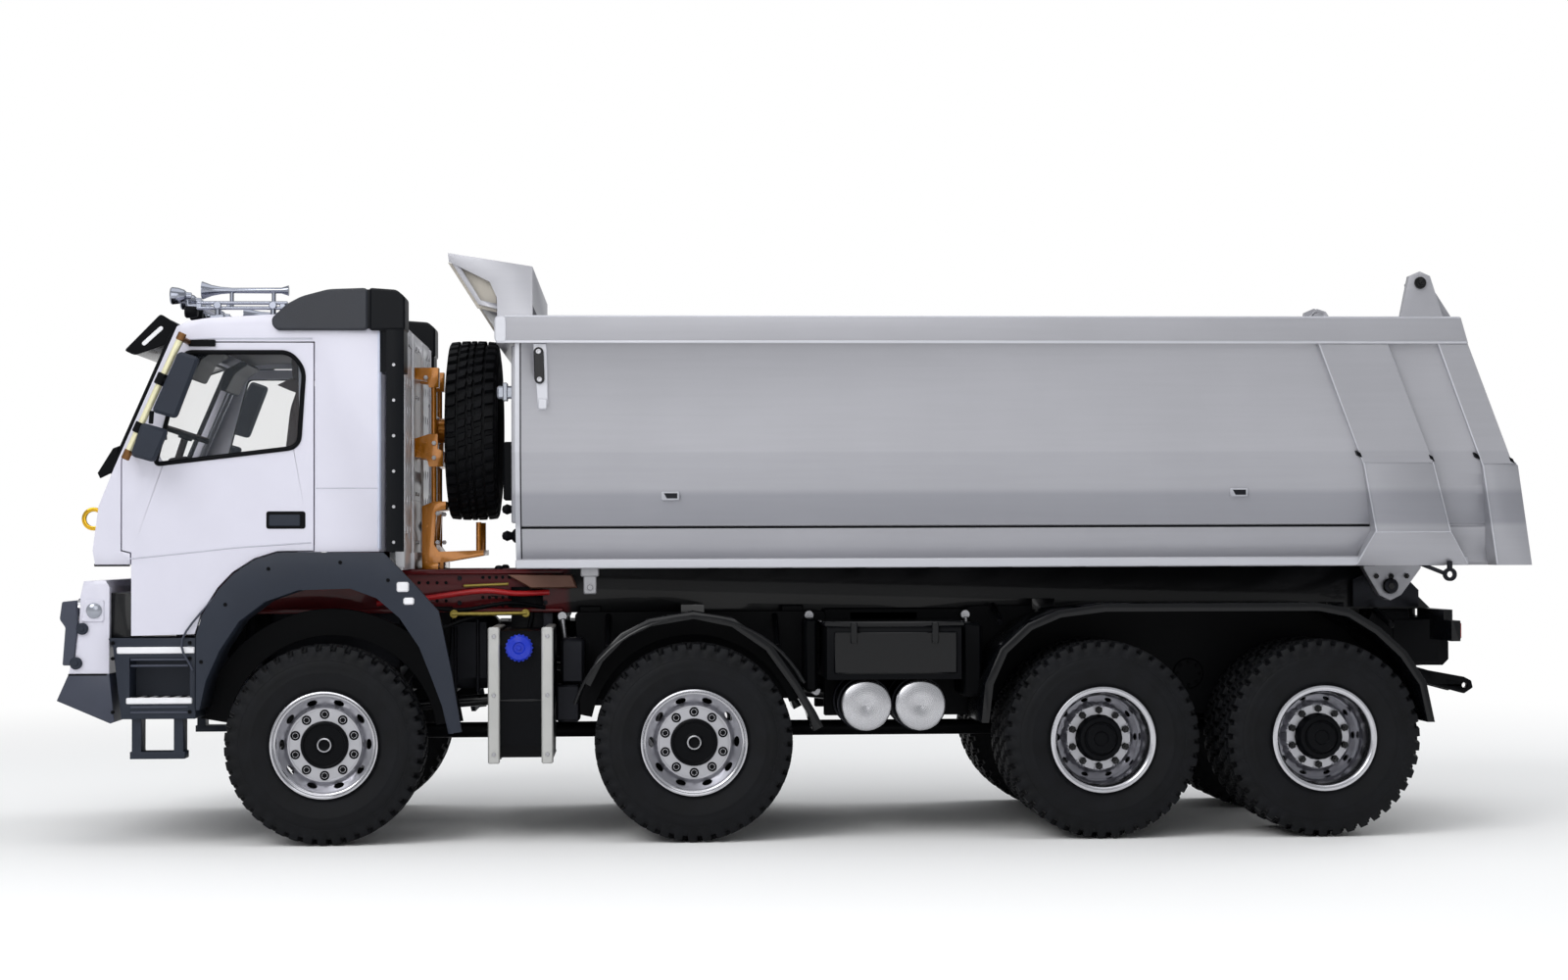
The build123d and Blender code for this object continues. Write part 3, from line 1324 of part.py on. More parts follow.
# Tailgate
GATE_GAP = 0.7
GATE_HALF = BED_HALF - BED_WALL - GATE_GAP
with BuildPart() as tailgate:
    with BuildSketch(Plane.XZ):
        with BuildLine():
            Polyline(
                (-279.0, BED_TOP_Z - 2.0), (-283.6, BED_TOP_Z - 2.0), (-305.0, 162.7),
                (-308.6, 159.6), (-313.6, BED_FLOOR_Z + GATE_GAP),
                (-308.0, BED_FLOOR_Z + GATE_GAP), (-303.6, 159.0),
                close=True,
            )
        make_face()
    extrude(amount=GATE_HALF, both=True)
    with BuildSketch(Plane.YZ.offset(BED_REAR_X - 5.0)):
        with BuildLine():
            Polyline(*CARGO_SECTION, *[(-y, z) for y, z in CARGO_SECTION[::-1]], close=True)
        make_face()
        offset(amount=-GATE_GAP, kind=Kind.INTERSECTION, mode=Mode.REPLACE)
    extrude(amount=BED_LENGTH, mode=Mode.INTERSECT)
    for side in (1, -1):
        with BuildSketch(Plane.XZ.offset(-side * GATE_HALF)):
            with BuildLine():
                Polyline(
                    (-262.4, GATE_PIVOT_Z), (-266.6, GATE_PIVOT_Z + 4.4), (-271.0, GATE_PIVOT_Z + 3.0),
                    (-288.0, 215.0), (-284.0, 208.0), (-279.0, 212.0), (-264.0, GATE_PIVOT_Z - 4.0),
                    close=True,
                )
            make_face()
            with Locations((GATE_PIVOT_X, GATE_PIVOT_Z)):
                Circle(GATE_PIN_R + PIN_PLAY, mode=Mode.SUBTRACT)
        extrude(amount=side * 3.5)
tailgate.part.label = "tailgate"
export_step(tailgate.part, "parts/tailgate.step")

# Cylinder
CYL_BARREL_TOP = CYL_TOP_Z - 18.0
with BuildPart() as cylinder_barrel:
    with BuildSketch(Plane.XY.offset(CYL_LOW_Z - 5.0)):
        with Locations((CYL_X, 0)):
            Circle(CYL_R)
    extrude(amount=CYL_BARREL_TOP - CYL_LOW_Z + 5.0)
    with BuildSketch(Plane.XY.offset(CYL_LOW_Z + 8.0)):
        with Locations((CYL_X, 0)):
            Circle(CYL_R - CYL_STEP_R + FIT)
    extrude(amount=CYL_TOP_Z, mode=Mode.SUBTRACT)
    with BuildSketch(Plane.XZ):
        with Locations((CYL_X, CYL_LOW_Z)):
            Circle(CYL_TRUNNION_R + PIN_PLAY)
    extrude(amount=CYL_R + 5.0, both=True, mode=Mode.SUBTRACT)
cylinder_barrel.part.label = "cylinder_barrel"
export_step(cylinder_barrel.part, "parts/cylinder_barrel.step")

for i in range(CYL_STAGES):
    name = "cylinder_stage_" + str(i + 1)
    outer_r = CYL_R - (i + 1) * CYL_STEP_R
    low_z = CYL_LOW_Z + 8.0 + (i + 1) * 1.0
    top_z = CYL_BARREL_TOP + (i + 1) * 2.0
    with BuildPart() as stage:
        with BuildSketch(Plane.XY.offset(low_z)):
            with Locations((CYL_X, 0)):
                Circle(outer_r)
        extrude(amount=top_z - low_z)
        if i < CYL_STAGES - 1:
            with BuildSketch(Plane.XY.offset(low_z + 1.0)):
                with Locations((CYL_X, 0)):
                    Circle(outer_r - CYL_STEP_R + FIT)
            extrude(amount=CYL_TOP_Z, mode=Mode.SUBTRACT)
        else:
            with BuildSketch(Plane.XZ):
                with Locations((CYL_X, CYL_TOP_Z)):
                    Circle(CYL_EYE_R)
                with Locations((CYL_X, 0.5 * (CYL_TOP_Z + top_z) - 2.0)):
                    Rectangle(4.0, CYL_TOP_Z - top_z)
            extrude(amount=0.5 * CYL_EYE_W, both=True)
            with BuildSketch(Plane.XZ):
                with Locations((CYL_X, CYL_TOP_Z)):
                    Circle(CYL_PIN_R + PIN_PLAY)
            extrude(amount=5.0, both=True, mode=Mode.SUBTRACT)
    stage.part.label = name
    export_step(stage.part, "parts/" + name + ".step")
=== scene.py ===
"""Scale model tipper truck: finishes, small pieces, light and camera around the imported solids.

The scene is in metres, with X forward, Y to the truck's left and Z up. Shapes are worked out as
whole numpy arrays in millimetres, and piece() puts them into the scene in metres.
"""

import math

import bpy
import numpy as np

from mathutils import Matrix, Vector


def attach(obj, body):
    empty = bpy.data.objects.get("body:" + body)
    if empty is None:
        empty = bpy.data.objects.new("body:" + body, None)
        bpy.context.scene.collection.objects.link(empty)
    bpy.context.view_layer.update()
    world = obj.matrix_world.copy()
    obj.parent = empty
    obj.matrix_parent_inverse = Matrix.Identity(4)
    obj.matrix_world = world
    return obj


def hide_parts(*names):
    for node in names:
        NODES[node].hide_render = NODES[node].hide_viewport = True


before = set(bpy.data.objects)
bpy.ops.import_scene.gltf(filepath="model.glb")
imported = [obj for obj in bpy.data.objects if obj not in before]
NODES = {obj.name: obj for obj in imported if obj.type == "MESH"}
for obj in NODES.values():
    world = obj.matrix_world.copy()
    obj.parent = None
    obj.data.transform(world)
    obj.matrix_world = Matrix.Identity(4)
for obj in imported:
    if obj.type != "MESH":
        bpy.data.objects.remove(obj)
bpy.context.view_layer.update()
MM = 0.001

TYRE_R = 42.5
TYRE_W = 25.0
BEAD_R = 23.0
WHEEL_OUT_Y = 90.0
TWIN_PITCH = 28.0
AXLES = {1: 203.0, 2: 47.0, 3: -128.0, 4: -224.0}
SIDES = {"left": 1.0, "right": -1.0}
MIRROR = np.diag([1.0, -1.0, 1.0])
RIM_BACK = -0.5 * TYRE_W - 9.5
WHEEL_BOLTS = 10
# Points round each hole of a rim; a multiple of 4
HOLE_POINTS = 32


class Value:
    """A socket of a finish. Arithmetic on it adds Math nodes to the finish's tree."""

    def __init__(self, finish, socket):
        self.finish = finish
        self.socket = socket

    def math(self, operation, *terms):
        """A Math node of this operation, with these Values or numbers as its inputs."""
        return self.finish.node("Math", {"operation": operation}, dict(enumerate(terms)))

    def __add__(self, other):
        return self.math("ADD", self, other)

    def __radd__(self, other):
        return self.math("ADD", other, self)

    def __sub__(self, other):
        return self.math("SUBTRACT", self, other)

    def __rsub__(self, other):
        return self.math("SUBTRACT", other, self)

    def __mul__(self, other):
        return self.math("MULTIPLY", self, other)

    def __rmul__(self, other):
        return self.math("MULTIPLY", other, self)

    def __truediv__(self, other):
        return self.math("DIVIDE", self, other)

    def __abs__(self):
        return self.math("ABSOLUTE", self)

    def __gt__(self, other):
        return self.math("GREATER_THAN", self, other)

    def __lt__(self, other):
        return self.math("LESS_THAN", self, other)

    def wave(self, pitch):
        """A sine from 0 to 1 that repeats every pitch."""
        return self.math("SINE", self * (2.0 * math.pi / pitch)) * 0.5 + 0.5

    def ramp(self, low, high):
        """0 below low, 1 above high, and smooth between them."""
        settings = {"interpolation_type": "SMOOTHSTEP"}
        return self.finish.node("MapRange", settings, {"Value": self, "From Min": low, "From Max": high})


class Finish:
    """A material in the making: a Principled shader, the object's coordinates and what feeds them."""

    def __init__(self, name):
        self.material = bpy.data.materials.new(name)
        self.material.use_nodes = True
        self.tree = self.material.node_tree
        self.tree.nodes.clear()
        self.shader = self.tree.nodes.new("ShaderNodeBsdfPrincipled")
        self.out = self.tree.nodes.new("ShaderNodeOutputMaterial")
        self.tree.links.new(self.shader.outputs[0], self.out.inputs["Surface"])
        self.place = self.node("TexCoord", output="Object")
        self.x, self.y, self.z = (self.node("SeparateXYZ", {}, {0: self.place}, axis) for axis in range(3))

    def node(self, kind, settings=None, inputs=None, output=0):
        """Adds a node: its settings first, then a number, colour or link for each input named."""
        node = self.tree.nodes.new("ShaderNode" + kind)
        for key, value in (settings or {}).items():
            setattr(node, key, value)
        for key, value in (inputs or {}).items():
            self.feed(node.inputs[key], value)
        return Value(self, node.outputs[output])

    def feed(self, socket, value):
        """Links a Value to a socket, or sets it to a number, a text or a colour."""
        if isinstance(value, Value):
            self.tree.links.new(value.socket, socket)
        elif isinstance(value, tuple) and len(socket.default_value) == 4:
            socket.default_value = (*value, 1.0)
        else:
            socket.default_value = value

    def put(self, **sockets):
        """Feeds shader inputs, named with _ for a space."""
        for key, value in sockets.items():
            self.feed(self.shader.inputs[key.replace("_", " ")], value)
        return self

    def noise(self, size, detail=2.0, stretch=(1.0, 1.0, 1.0)):
        """Fractal noise from 0 to 1 with cells of about this size in metres, longer along stretch."""
        place = self.node("Mapping", {}, {"Vector": self.place, "Scale": tuple(1.0 / s for s in stretch)})
        return self.node("TexNoise", {}, {"Vector": place, "Scale": 1.0 / size, "Detail": detail})

    def attribute(self, name):
        """A number kept in each point of the mesh."""
        return self.node("Attribute", {"attribute_name": name}, output="Fac")

    def mix(self, share, low, high):
        """Colour from low to high by share; inputs 6 and 7 are the Mix node's two colours."""
        return self.node("Mix", {"data_type": "RGBA"}, {0: share, 6: low, 7: high}, output=2)

    def bump(self, height, depth, strength=1.0):
        """Raises the surface by height, 0 to 1, times depth in metres."""
        return self.node("Bump", {}, {"Height": height, "Distance": depth, "Strength": strength})


def srgb(*levels):
    """Linear colour from screen levels of 0 to 255."""
    c = np.array(levels) / 255.0
    return tuple(float(v) for v in np.where(c <= 0.04045, c / 12.92, ((c + 0.055) / 1.055) ** 2.4))


def shades(colour, spread):
    """The colour made darker and lighter by a share of itself."""
    return tuple(c * (1.0 - spread) for c in colour), tuple(min(1.0, c * (1.0 + spread)) for c in colour)


def even(name, levels, rough, metal=0.0, coat=0.0, grain=0.4, depth=0.01, spread=0.05, gleam=0.5):
    """Paint, plastic or metal with clouded colour, uneven gloss and a grain of this size and depth in mm."""
    f = Finish(name)
    cloud = f.noise(18.0 * MM, 3.0)
    fine = f.noise(grain * MM)
    f.put(
        Base_Color=f.mix(cloud.ramp(0.3, 0.7), *shades(srgb(*levels), spread)),
        Roughness=rough + (cloud - 0.5) * (0.25 * rough) + (fine - 0.5) * 0.06,
        Metallic=metal,
        Coat_Weight=coat,
        Coat_Roughness=0.08,
        Specular_IOR_Level=gleam,
        Normal=f.bump(fine, depth * MM),
    )
    return f.material


CAB_PAINT = even("cab_paint", (208, 207, 220), 0.34, coat=0.35, grain=1.5, depth=0.006, spread=0.012)
SLATE = even("slate_plastic", (32, 38, 50), 0.5, grain=0.35, depth=0.03, gleam=0.3)
SLATE_SOFT = even("slate_lower", (50, 55, 70), 0.5, grain=0.35, depth=0.03)
DEFLECTOR = even("deflector_plastic", (36, 39, 47), 0.55, grain=0.5, depth=0.06, spread=0.12)
DEFLECTOR_BACK = even("deflector_back", (12, 14, 18), 0.4, grain=0.5, depth=0.02, gleam=0.12)
BLACK = even("black_metal", (9, 10, 13), 0.42, grain=0.5, depth=0.012, gleam=0.07)
BLACK_GLOSS = even("black_gloss", (8, 9, 12), 0.22, coat=0.3, grain=0.8, depth=0.004, gleam=0.15)
DARK_METAL = even("dark_steel", (34, 35, 40), 0.38, metal=0.6, gleam=0.2)
STEEL = even("steel", (176, 176, 180), 0.28, metal=1.0, grain=0.25, depth=0.006)
CHROME = even("chrome", (212, 213, 217), 0.1, metal=1.0, grain=4.0, depth=0.002, spread=0.02)
GREY_CHROME = even("grey_chrome", (150, 154, 166), 0.18, metal=1.0, grain=4.0, depth=0.002)
AMBER = even("lamp_amber", (214, 112, 14), 0.2, coat=0.6)
ORANGE = even("carrier_orange", (190, 118, 22), 0.26, metal=0.35, coat=0.5, grain=2.0, depth=0.004)
GOLD = even("gold", (218, 172, 52), 0.24, metal=1.0, grain=0.5, depth=0.006)
COPPER = even("copper", (120, 84, 50), 0.34, metal=0.8)
PALE_ROD = even("pale_rod", (226, 221, 184), 0.34, metal=0.3, grain=0.5)
STRAP = even("strap", (182, 182, 180), 0.34, metal=0.5)
BLUE = even("cap_blue", (10, 40, 168), 0.3, coat=0.4, gleam=0.2)
INTERIOR = even("seat_brown", (58, 48, 46), 0.62, grain=0.5, depth=0.05, spread=0.12)
LAMP_GREY = even("lamp_grey", (150, 154, 164), 0.16, metal=0.5, coat=0.6)
LAMP_RED = even("lamp_red", (150, 10, 14), 0.18, coat=0.6)
RED_SLEEVE = even("cable_red", (186, 26, 32), 0.4)
OLIVE_ROD = even("rod_olive", (152, 134, 58), 0.34, metal=0.5)
BRACKET = even("bracket_grey", (150, 150, 154), 0.34, metal=0.5)
SHEET_BEIGE = even("canopy_under", (176, 170, 160), 0.5)
WHITE_METAL = even("white_metal", (232, 232, 236), 0.3, metal=0.2)
RUST_BROWN = even("wedge_brown", (120, 84, 70), 0.45, metal=0.3)


def rubber():
    """Tyre rubber: near black, with a fine clouded bloom."""
    f = Finish("rubber")
    fine = f.noise(0.5 * MM)
    cloud = f.noise(9.0 * MM, 4.0)
    dark, light = srgb(8, 9, 11), srgb(18, 19, 23)
    f.put(
        Base_Color=f.mix((cloud * 0.7 + fine * 0.3).ramp(0.25, 0.75), dark, light),
        Roughness=0.62 + (cloud - 0.5) * 0.2,
        Specular_IOR_Level=0.16,
        Normal=f.bump(fine, 0.02 * MM),
    )
    return f.material


def frame_paint():
    """Frame rails: deep red ahead of the bed's front wall and black behind it."""
    f = Finish("frame_paint")
    fine = f.noise(0.6 * MM)
    ahead = f.x.ramp(100.0 * MM, 104.0 * MM) * (1.0 - f.x.ramp(276.0 * MM, 280.0 * MM))
    f.put(
        Base_Color=f.mix(ahead, srgb(11, 12, 15), srgb(96, 10, 18)),
        Roughness=0.36 + (fine - 0.5) * 0.12,
        Coat_Weight=0.3,
        Specular_IOR_Level=0.2,
        Normal=f.bump(fine, 0.01 * MM),
    )
    return f.material


def turned_metal(name, levels, rough, pitch):
    """Lathe-turned metal: fine rings by the distance from the wheel's axis, kept in each point."""
    f = Finish(name)
    rings = f.attribute("turning").wave(pitch * MM)
    cloud = f.noise(30.0 * MM, 2.0)
    f.put(
        Base_Color=f.mix(cloud.ramp(0.3, 0.7), *shades(srgb(*levels), 0.05)),
        Metallic=1.0,
        Roughness=rough + (cloud - 0.5) * 0.04 + rings * 0.05,
        Normal=f.bump(rings, 0.004 * MM),
    )
    return f.material


CREASE_Z = 166.0 * MM


def bed_metal(name, levels):
    """Satin silver paint: fine flake, faint long drag marks, clouded tone, and painted shade: darker below
    the crease, darkest between z 136 and 147 mm above the sill.
    """
    f = Finish(name)
    flake = f.noise(0.3 * MM)
    drag = f.noise(2.2 * MM, 2.0, stretch=(22.0, 1.0, 1.0))
    cloud = f.noise(45.0 * MM, 3.0)
    tone = (cloud * 0.6 + drag * 0.4).ramp(0.3, 0.7)
    # Painted shade: masks that darken the wall below the crease, and more between z 136 and 147 mm
    below = f.z.ramp(CREASE_Z + 0.5 * MM, CREASE_Z - 0.5 * MM)
    painted_shade_band = f.z.ramp(151.0 * MM, 147.0 * MM) * f.z.ramp(133.0 * MM, 136.0 * MM)
    plain = f.mix(tone, *shades(srgb(*levels), 0.03))
    f.put(
        # painted shade mixed into the base colour toward a dark blue grey
        Base_Color=f.mix((below * 0.35 + painted_shade_band) * 0.3, plain, srgb(96, 99, 110)),
        Metallic=0.35,
        Roughness=0.4 + (flake - 0.5) * 0.12 + (drag - 0.5) * 0.06,
        Coat_Weight=0.2,
        Coat_Roughness=0.2,
        Normal=f.bump(flake, 0.005 * MM),
    )
    return f.material


def glass():
    """Clear glazing: mostly see-through, with a faint cool tint and a soft gloss."""
    f = Finish("glass")
    haze = f.noise(30.0 * MM)
    f.put(
        Base_Color=srgb(96, 104, 114),
        Roughness=0.04 + haze * 0.03,
        Alpha=0.05 + haze * 0.03,
        Coat_Weight=0.6,
    )
    return f.material


FRAME_PAINT = frame_paint()
SEAM = even("panel_seam", (186, 187, 199), 0.5)
CAB_EDGE = even("cab_edge", (186, 192, 212), 0.4, coat=0.2)
RUBBER = rubber()
RIM_METAL = turned_metal("rim_metal", (196, 196, 201), 0.2, 0.5)
RIM_FACE = turned_metal("rim_face", (178, 178, 183), 0.3, 0.6)
TANK_END = turned_metal("tank_end", (186, 186, 190), 0.24, 0.8)
BED_METAL = bed_metal("bed_metal", (168, 168, 174))
# Lighter copy of the bed paint: painted highlight on the bright edges and rib rods, and the pale tone of the
# latch plates, hook rings and gate bars
BED_PALE_AND_HIGHLIGHT = bed_metal("bed_pale_and_highlight", (198, 199, 206))
GLASS = glass()


def grid_faces(rows, cols, wrap_rows=False, wrap_cols=False):
    """Quads of a grid of points numbered row by row."""
    r = np.arange(rows if wrap_rows else rows - 1)
    c = np.arange(cols if wrap_cols else cols - 1)
    r, c = np.meshgrid(r, c, indexing="ij")
    r2, c2 = (r + 1) % rows, (c + 1) % cols
    return np.stack([r * cols + c, r * cols + c2, r2 * cols + c2, r2 * cols + c], -1).reshape(-1, 4)


class Shape:
    """Points and faces in millimetres. Shapes add up, turn, move and mirror; faces stay outward."""

    def __init__(self, points, quads=None, tris=None):
        self.points = np.asarray(points, float).reshape(-1, 3)
        self.quads = np.zeros((0, 4), int) if quads is None else np.asarray(quads, int).reshape(-1, 4)
        self.tris = np.zeros((0, 3), int) if tris is None else np.asarray(tris, int).reshape(-1, 3)

    def __add__(self, other):
        return joined([self, other])

    def turned(self, matrix):
        """The shape through a 3 by 3 matrix; a mirroring one reverses each face."""
        flip = -1 if np.linalg.det(matrix) < 0 else 1
        return Shape(self.points @ np.asarray(matrix, float).T, self.quads[:, ::flip], self.tris[:, ::flip])

    def at(self, x, y, z):
        """The shape moved by x, y and z."""
        return Shape(self.points + np.array([x, y, z], float), self.quads, self.tris)

    def on(self, side):
        """The shape itself for the left side, its mirror image for the right."""
        return self if side > 0 else self.turned(MIRROR)

    def both(self):
        """The shape with its mirror image on the truck's other side."""
        return self + self.on(-1)

    def outward(self):
        """The closed shape with its faces reversed if its signed volume is negative."""
        p = self.points
        tris = np.concatenate([self.tris, self.quads[:, [0, 1, 2]], self.quads[:, [0, 2, 3]]])
        a, b, c = p[tris[:, 0]], p[tris[:, 1]], p[tris[:, 2]]
        flip = -1 if np.einsum("ij,ij->", a, np.cross(b, c)) < 0 else 1
        return Shape(p, self.quads[:, ::flip], self.tris[:, ::flip])


def joined(shapes):
    """One shape from many."""
    shapes = list(shapes)
    starts = np.cumsum([0] + [len(s.points) for s in shapes[:-1]])
    return Shape(
        np.concatenate([s.points for s in shapes]),
        np.concatenate([s.quads + n for s, n in zip(shapes, starts)]),
        np.concatenate([s.tris + n for s, n in zip(shapes, starts)]),
    )


EMPTY = Shape(np.zeros((0, 3)))


def turn(axis, degrees):
    """Rotation matrix about X, Y or Z."""
    a = math.radians(degrees)
    i, j = {"X": (1, 2), "Y": (2, 0), "Z": (0, 1)}[axis]
    m = np.eye(3)
    m[i, i] = m[j, j] = math.cos(a)
    m[i, j], m[j, i] = -math.sin(a), math.sin(a)
    return m


def facing(direction):
    """Matrix that turns +Z to a direction: its columns are two square vectors and that way."""
    w = np.asarray(direction, float) / np.linalg.norm(direction)
    u = np.cross([0.0, 1.0, 0.0] if abs(w[1]) < 0.9 else [1.0, 0.0, 0.0], w)
    u = u / np.linalg.norm(u)
    return np.stack([u, np.cross(w, u), w], 1)


def circle(n):
    """n even angles round a circle."""
    return 2.0 * math.pi * np.arange(n) / n


def end_fans(m, n):
    """Triangles that close m rings of n points: the first and last ring fan to points m n and m n + 1."""
    k = np.arange(n)
    k2 = (k + 1) % n
    start = np.stack([np.full(n, m * n), k2, k], 1)
    end = np.stack([(m - 1) * n + k, (m - 1) * n + k2, np.full(n, m * n + 1)], 1)
    return np.concatenate([start, end])


def lathe(profile, n=32):
    """Solid of revolution about +Z from (radius, height) pairs that start and end at radius 0.

    Point k of ring i is (r cos 2 pi k / n, r sin 2 pi k / n, z), and each end is a single pole.
    """
    r, z = np.asarray(profile, float).T
    a = circle(n)
    ring_r, ring_z = r[1:-1], z[1:-1]
    rings = np.stack(
        [np.outer(ring_r, np.cos(a)), np.outer(ring_r, np.sin(a)), np.repeat(ring_z[:, None], n, 1)], -1
    )
    m = len(ring_r)
    points = np.concatenate([rings.reshape(-1, 3), [[0.0, 0.0, z[0]], [0.0, 0.0, z[-1]]]])
    return Shape(points, grid_faces(m, n, wrap_cols=True), end_fans(m, n)).outward()


def lathe_ring(profile, n=96):
    """Closed loop of (radius, height) pairs turned about +Z into a ring with a hole."""
    r, z = np.asarray(profile, float).T
    a = circle(n)
    points = np.stack([np.outer(r, np.cos(a)), np.outer(r, np.sin(a)), np.repeat(z[:, None], n, 1)], -1)
    return Shape(points, grid_faces(len(r), n, wrap_rows=True, wrap_cols=True)).outward()


def smooth_path(points, steps=8):
    """Points along a Catmull-Rom curve: each span is a cubic through its ends, sloped by its neighbours."""
    p = np.asarray(points, float)
    p = np.concatenate([[2 * p[0] - p[1]], p, [2 * p[-1] - p[-2]]])
    t = (np.arange(steps) / steps)[None, :, None]
    a, b, c, d = (p[i : len(p) - 3 + i, None] for i in range(4))
    run = b + 0.5 * ((c - a) * t + (2 * a - 5 * b + 4 * c - d) * t**2 + (3 * b - a - 3 * c + d) * t**3)
    return np.concatenate([run.reshape(-1, 3), p[-2][None]])


def tube(path, radius, n=12, closed=False):
    """Round tube along a path: ring i is centre i + r (u cos a + v sin a), with u and v square to the path.

    radius is one number or one for each point; flat discs close the ends of an open path.
    """
    p = np.asarray(path, float)
    m = len(p)
    if closed:
        t = np.roll(p, -1, 0) - np.roll(p, 1, 0)
    else:
        t = np.gradient(p, axis=0)
    t = t / np.linalg.norm(t, axis=1)[:, None]
    spread = np.linalg.svd(p - p.mean(0))[2][2]
    u = np.cross(t, spread)
    u = u / np.linalg.norm(u, axis=1)[:, None]
    v = np.cross(t, u)
    a = circle(n)
    r = np.broadcast_to(radius, (m,))[:, None, None]
    rings = p[:, None] + r * (u[:, None] * np.cos(a)[:, None] + v[:, None] * np.sin(a)[:, None])
    quads = grid_faces(m, n, wrap_rows=closed, wrap_cols=True)
    if closed:
        return Shape(rings, quads).outward()
    points = np.concatenate([rings.reshape(-1, 3), p[[0]], p[[-1]]])
    return Shape(points, quads, end_fans(m, n)).outward()


def rod(a, b, radius, n=14, chamfer=0.25):
    """Round bar from a to b with cut edges."""
    a, b = np.asarray(a, float), np.asarray(b, float)
    length = np.linalg.norm(b - a)
    c = min(chamfer, 0.4 * radius, 0.4 * length)
    profile = [
        (0, 0), (radius - c, 0), (radius, c), (radius, length - c), (radius - c, length), (0, length)
    ]
    return lathe(profile, n).turned(facing(b - a)).at(*a)


def loft(sections):
    """Closed skin through loops of equally many points, row by row; both ends fan from their middles."""
    s = np.asarray(sections, float)
    m, n = s.shape[:2]
    points = np.concatenate([s.reshape(-1, 3), s[0].mean(0)[None], s[-1].mean(0)[None]])
    return Shape(points, grid_faces(m, n, wrap_cols=True), end_fans(m, n)).outward()


def block(low, high, chamfer=0.3):
    """Box from corner to corner with cut edges: rounded-square loops, drawn in at both ends."""
    lo, hi = np.minimum(low, high).astype(float), np.maximum(low, high).astype(float)
    mid, half = (lo + hi) / 2, (hi - lo) / 2
    c = min(chamfer, 0.45 * float(half.min() * 2))

    def loop(inset, z):
        """Square loop with cut corners at a height, drawn in by inset."""
        x, y = half[0] - inset, half[1] - inset
        cut = max(c - inset, 0.02)
        xs = [x, x, x - cut, cut - x, -x, -x, cut - x, x - cut]
        ys = [cut - y, y - cut, y, y, y - cut, cut - y, -y, -y]
        return np.stack([xs, ys, np.full(8, z)], 1)

    z = half[2]
    return loft([loop(c, -z), loop(0, c - z), loop(0, z - c), loop(c, z)]).at(*mid)


EAR_LEAST = 1e-9


def ear_clip(outline):
    """Triangles of a simple anticlockwise outline: the first free ear is cut off until three points stay."""
    p = [tuple(map(float, q)) for q in outline]
    left = list(range(len(p)))
    faces = []

    def area(a, b, c):
        """Twice the signed area of three of the outline's points."""
        return (p[b][0] - p[a][0]) * (p[c][1] - p[a][1]) - (p[c][0] - p[a][0]) * (p[b][1] - p[a][1])

    def free(i):
        """Whether the corner at place i is convex with none of the other points in it."""
        a, b, c = left[i - 1], left[i], left[(i + 1) % len(left)]
        others = (q for q in left if q not in (a, b, c))
        return area(a, b, c) > EAR_LEAST and not any(
            min(area(a, b, q), area(b, c, q), area(c, a, q)) > -EAR_LEAST for q in others
        )

    while len(left) > 3:
        i = next((i for i in range(len(left)) if free(i)), 1)
        faces.append((left[i - 1], left[i], left[(i + 1) % len(left)]))
        left.pop(i)
    return np.array(faces + [tuple(left)])


def plate(outline, near, far, chamfer=0.25, axis="Y"):
    """Flat plate of an outline between two depths along an axis, with cut edges.

    Outlines are (x, z) for Y, (x, y) for Z and (y, z) for X. Four rings of points, the first and
    last drawn in along the corner bisectors, are joined round the edge and capped by ear clipping.
    """
    p = np.asarray(outline, float)
    if np.sum(p[:, 0] * np.roll(p[:, 1], -1) - np.roll(p[:, 0], -1) * p[:, 1]) < 0:
        p = p[::-1]
    lo, hi = min(near, far), max(near, far)
    edge = np.roll(p, -1, 0) - p
    square = np.stack([edge[:, 1], -edge[:, 0]], 1) / np.linalg.norm(edge, axis=1)[:, None]
    corner = square + np.roll(square, 1, 0)
    corner = corner / np.maximum((corner**2).sum(1, keepdims=True) * 0.5, 0.4)
    c = min(chamfer, 0.4 * (hi - lo))
    inner = p - corner * c
    n = len(p)
    rings = [(inner, lo), (p, lo + c), (p, hi - c), (inner, hi)]
    points = np.concatenate([np.column_stack([q, np.full(n, depth)]) for q, depth in rings])
    caps = ear_clip(inner)
    shape = Shape(points, grid_faces(4, n, wrap_cols=True), np.concatenate([caps[:, ::-1], caps + 3 * n]))
    order = {"Y": [0, 2, 1], "Z": [0, 1, 2], "X": [2, 0, 1]}[axis]
    return Shape(shape.points[:, order], shape.quads, shape.tris).outward()


def ring_of(shape, count, radius, start=0.0):
    """Copies of a shape on a circle about +Z, each turned to face outward."""
    return joined(shape.at(radius, 0, 0).turned(turn("Z", start + 360.0 * i / count)) for i in range(count))


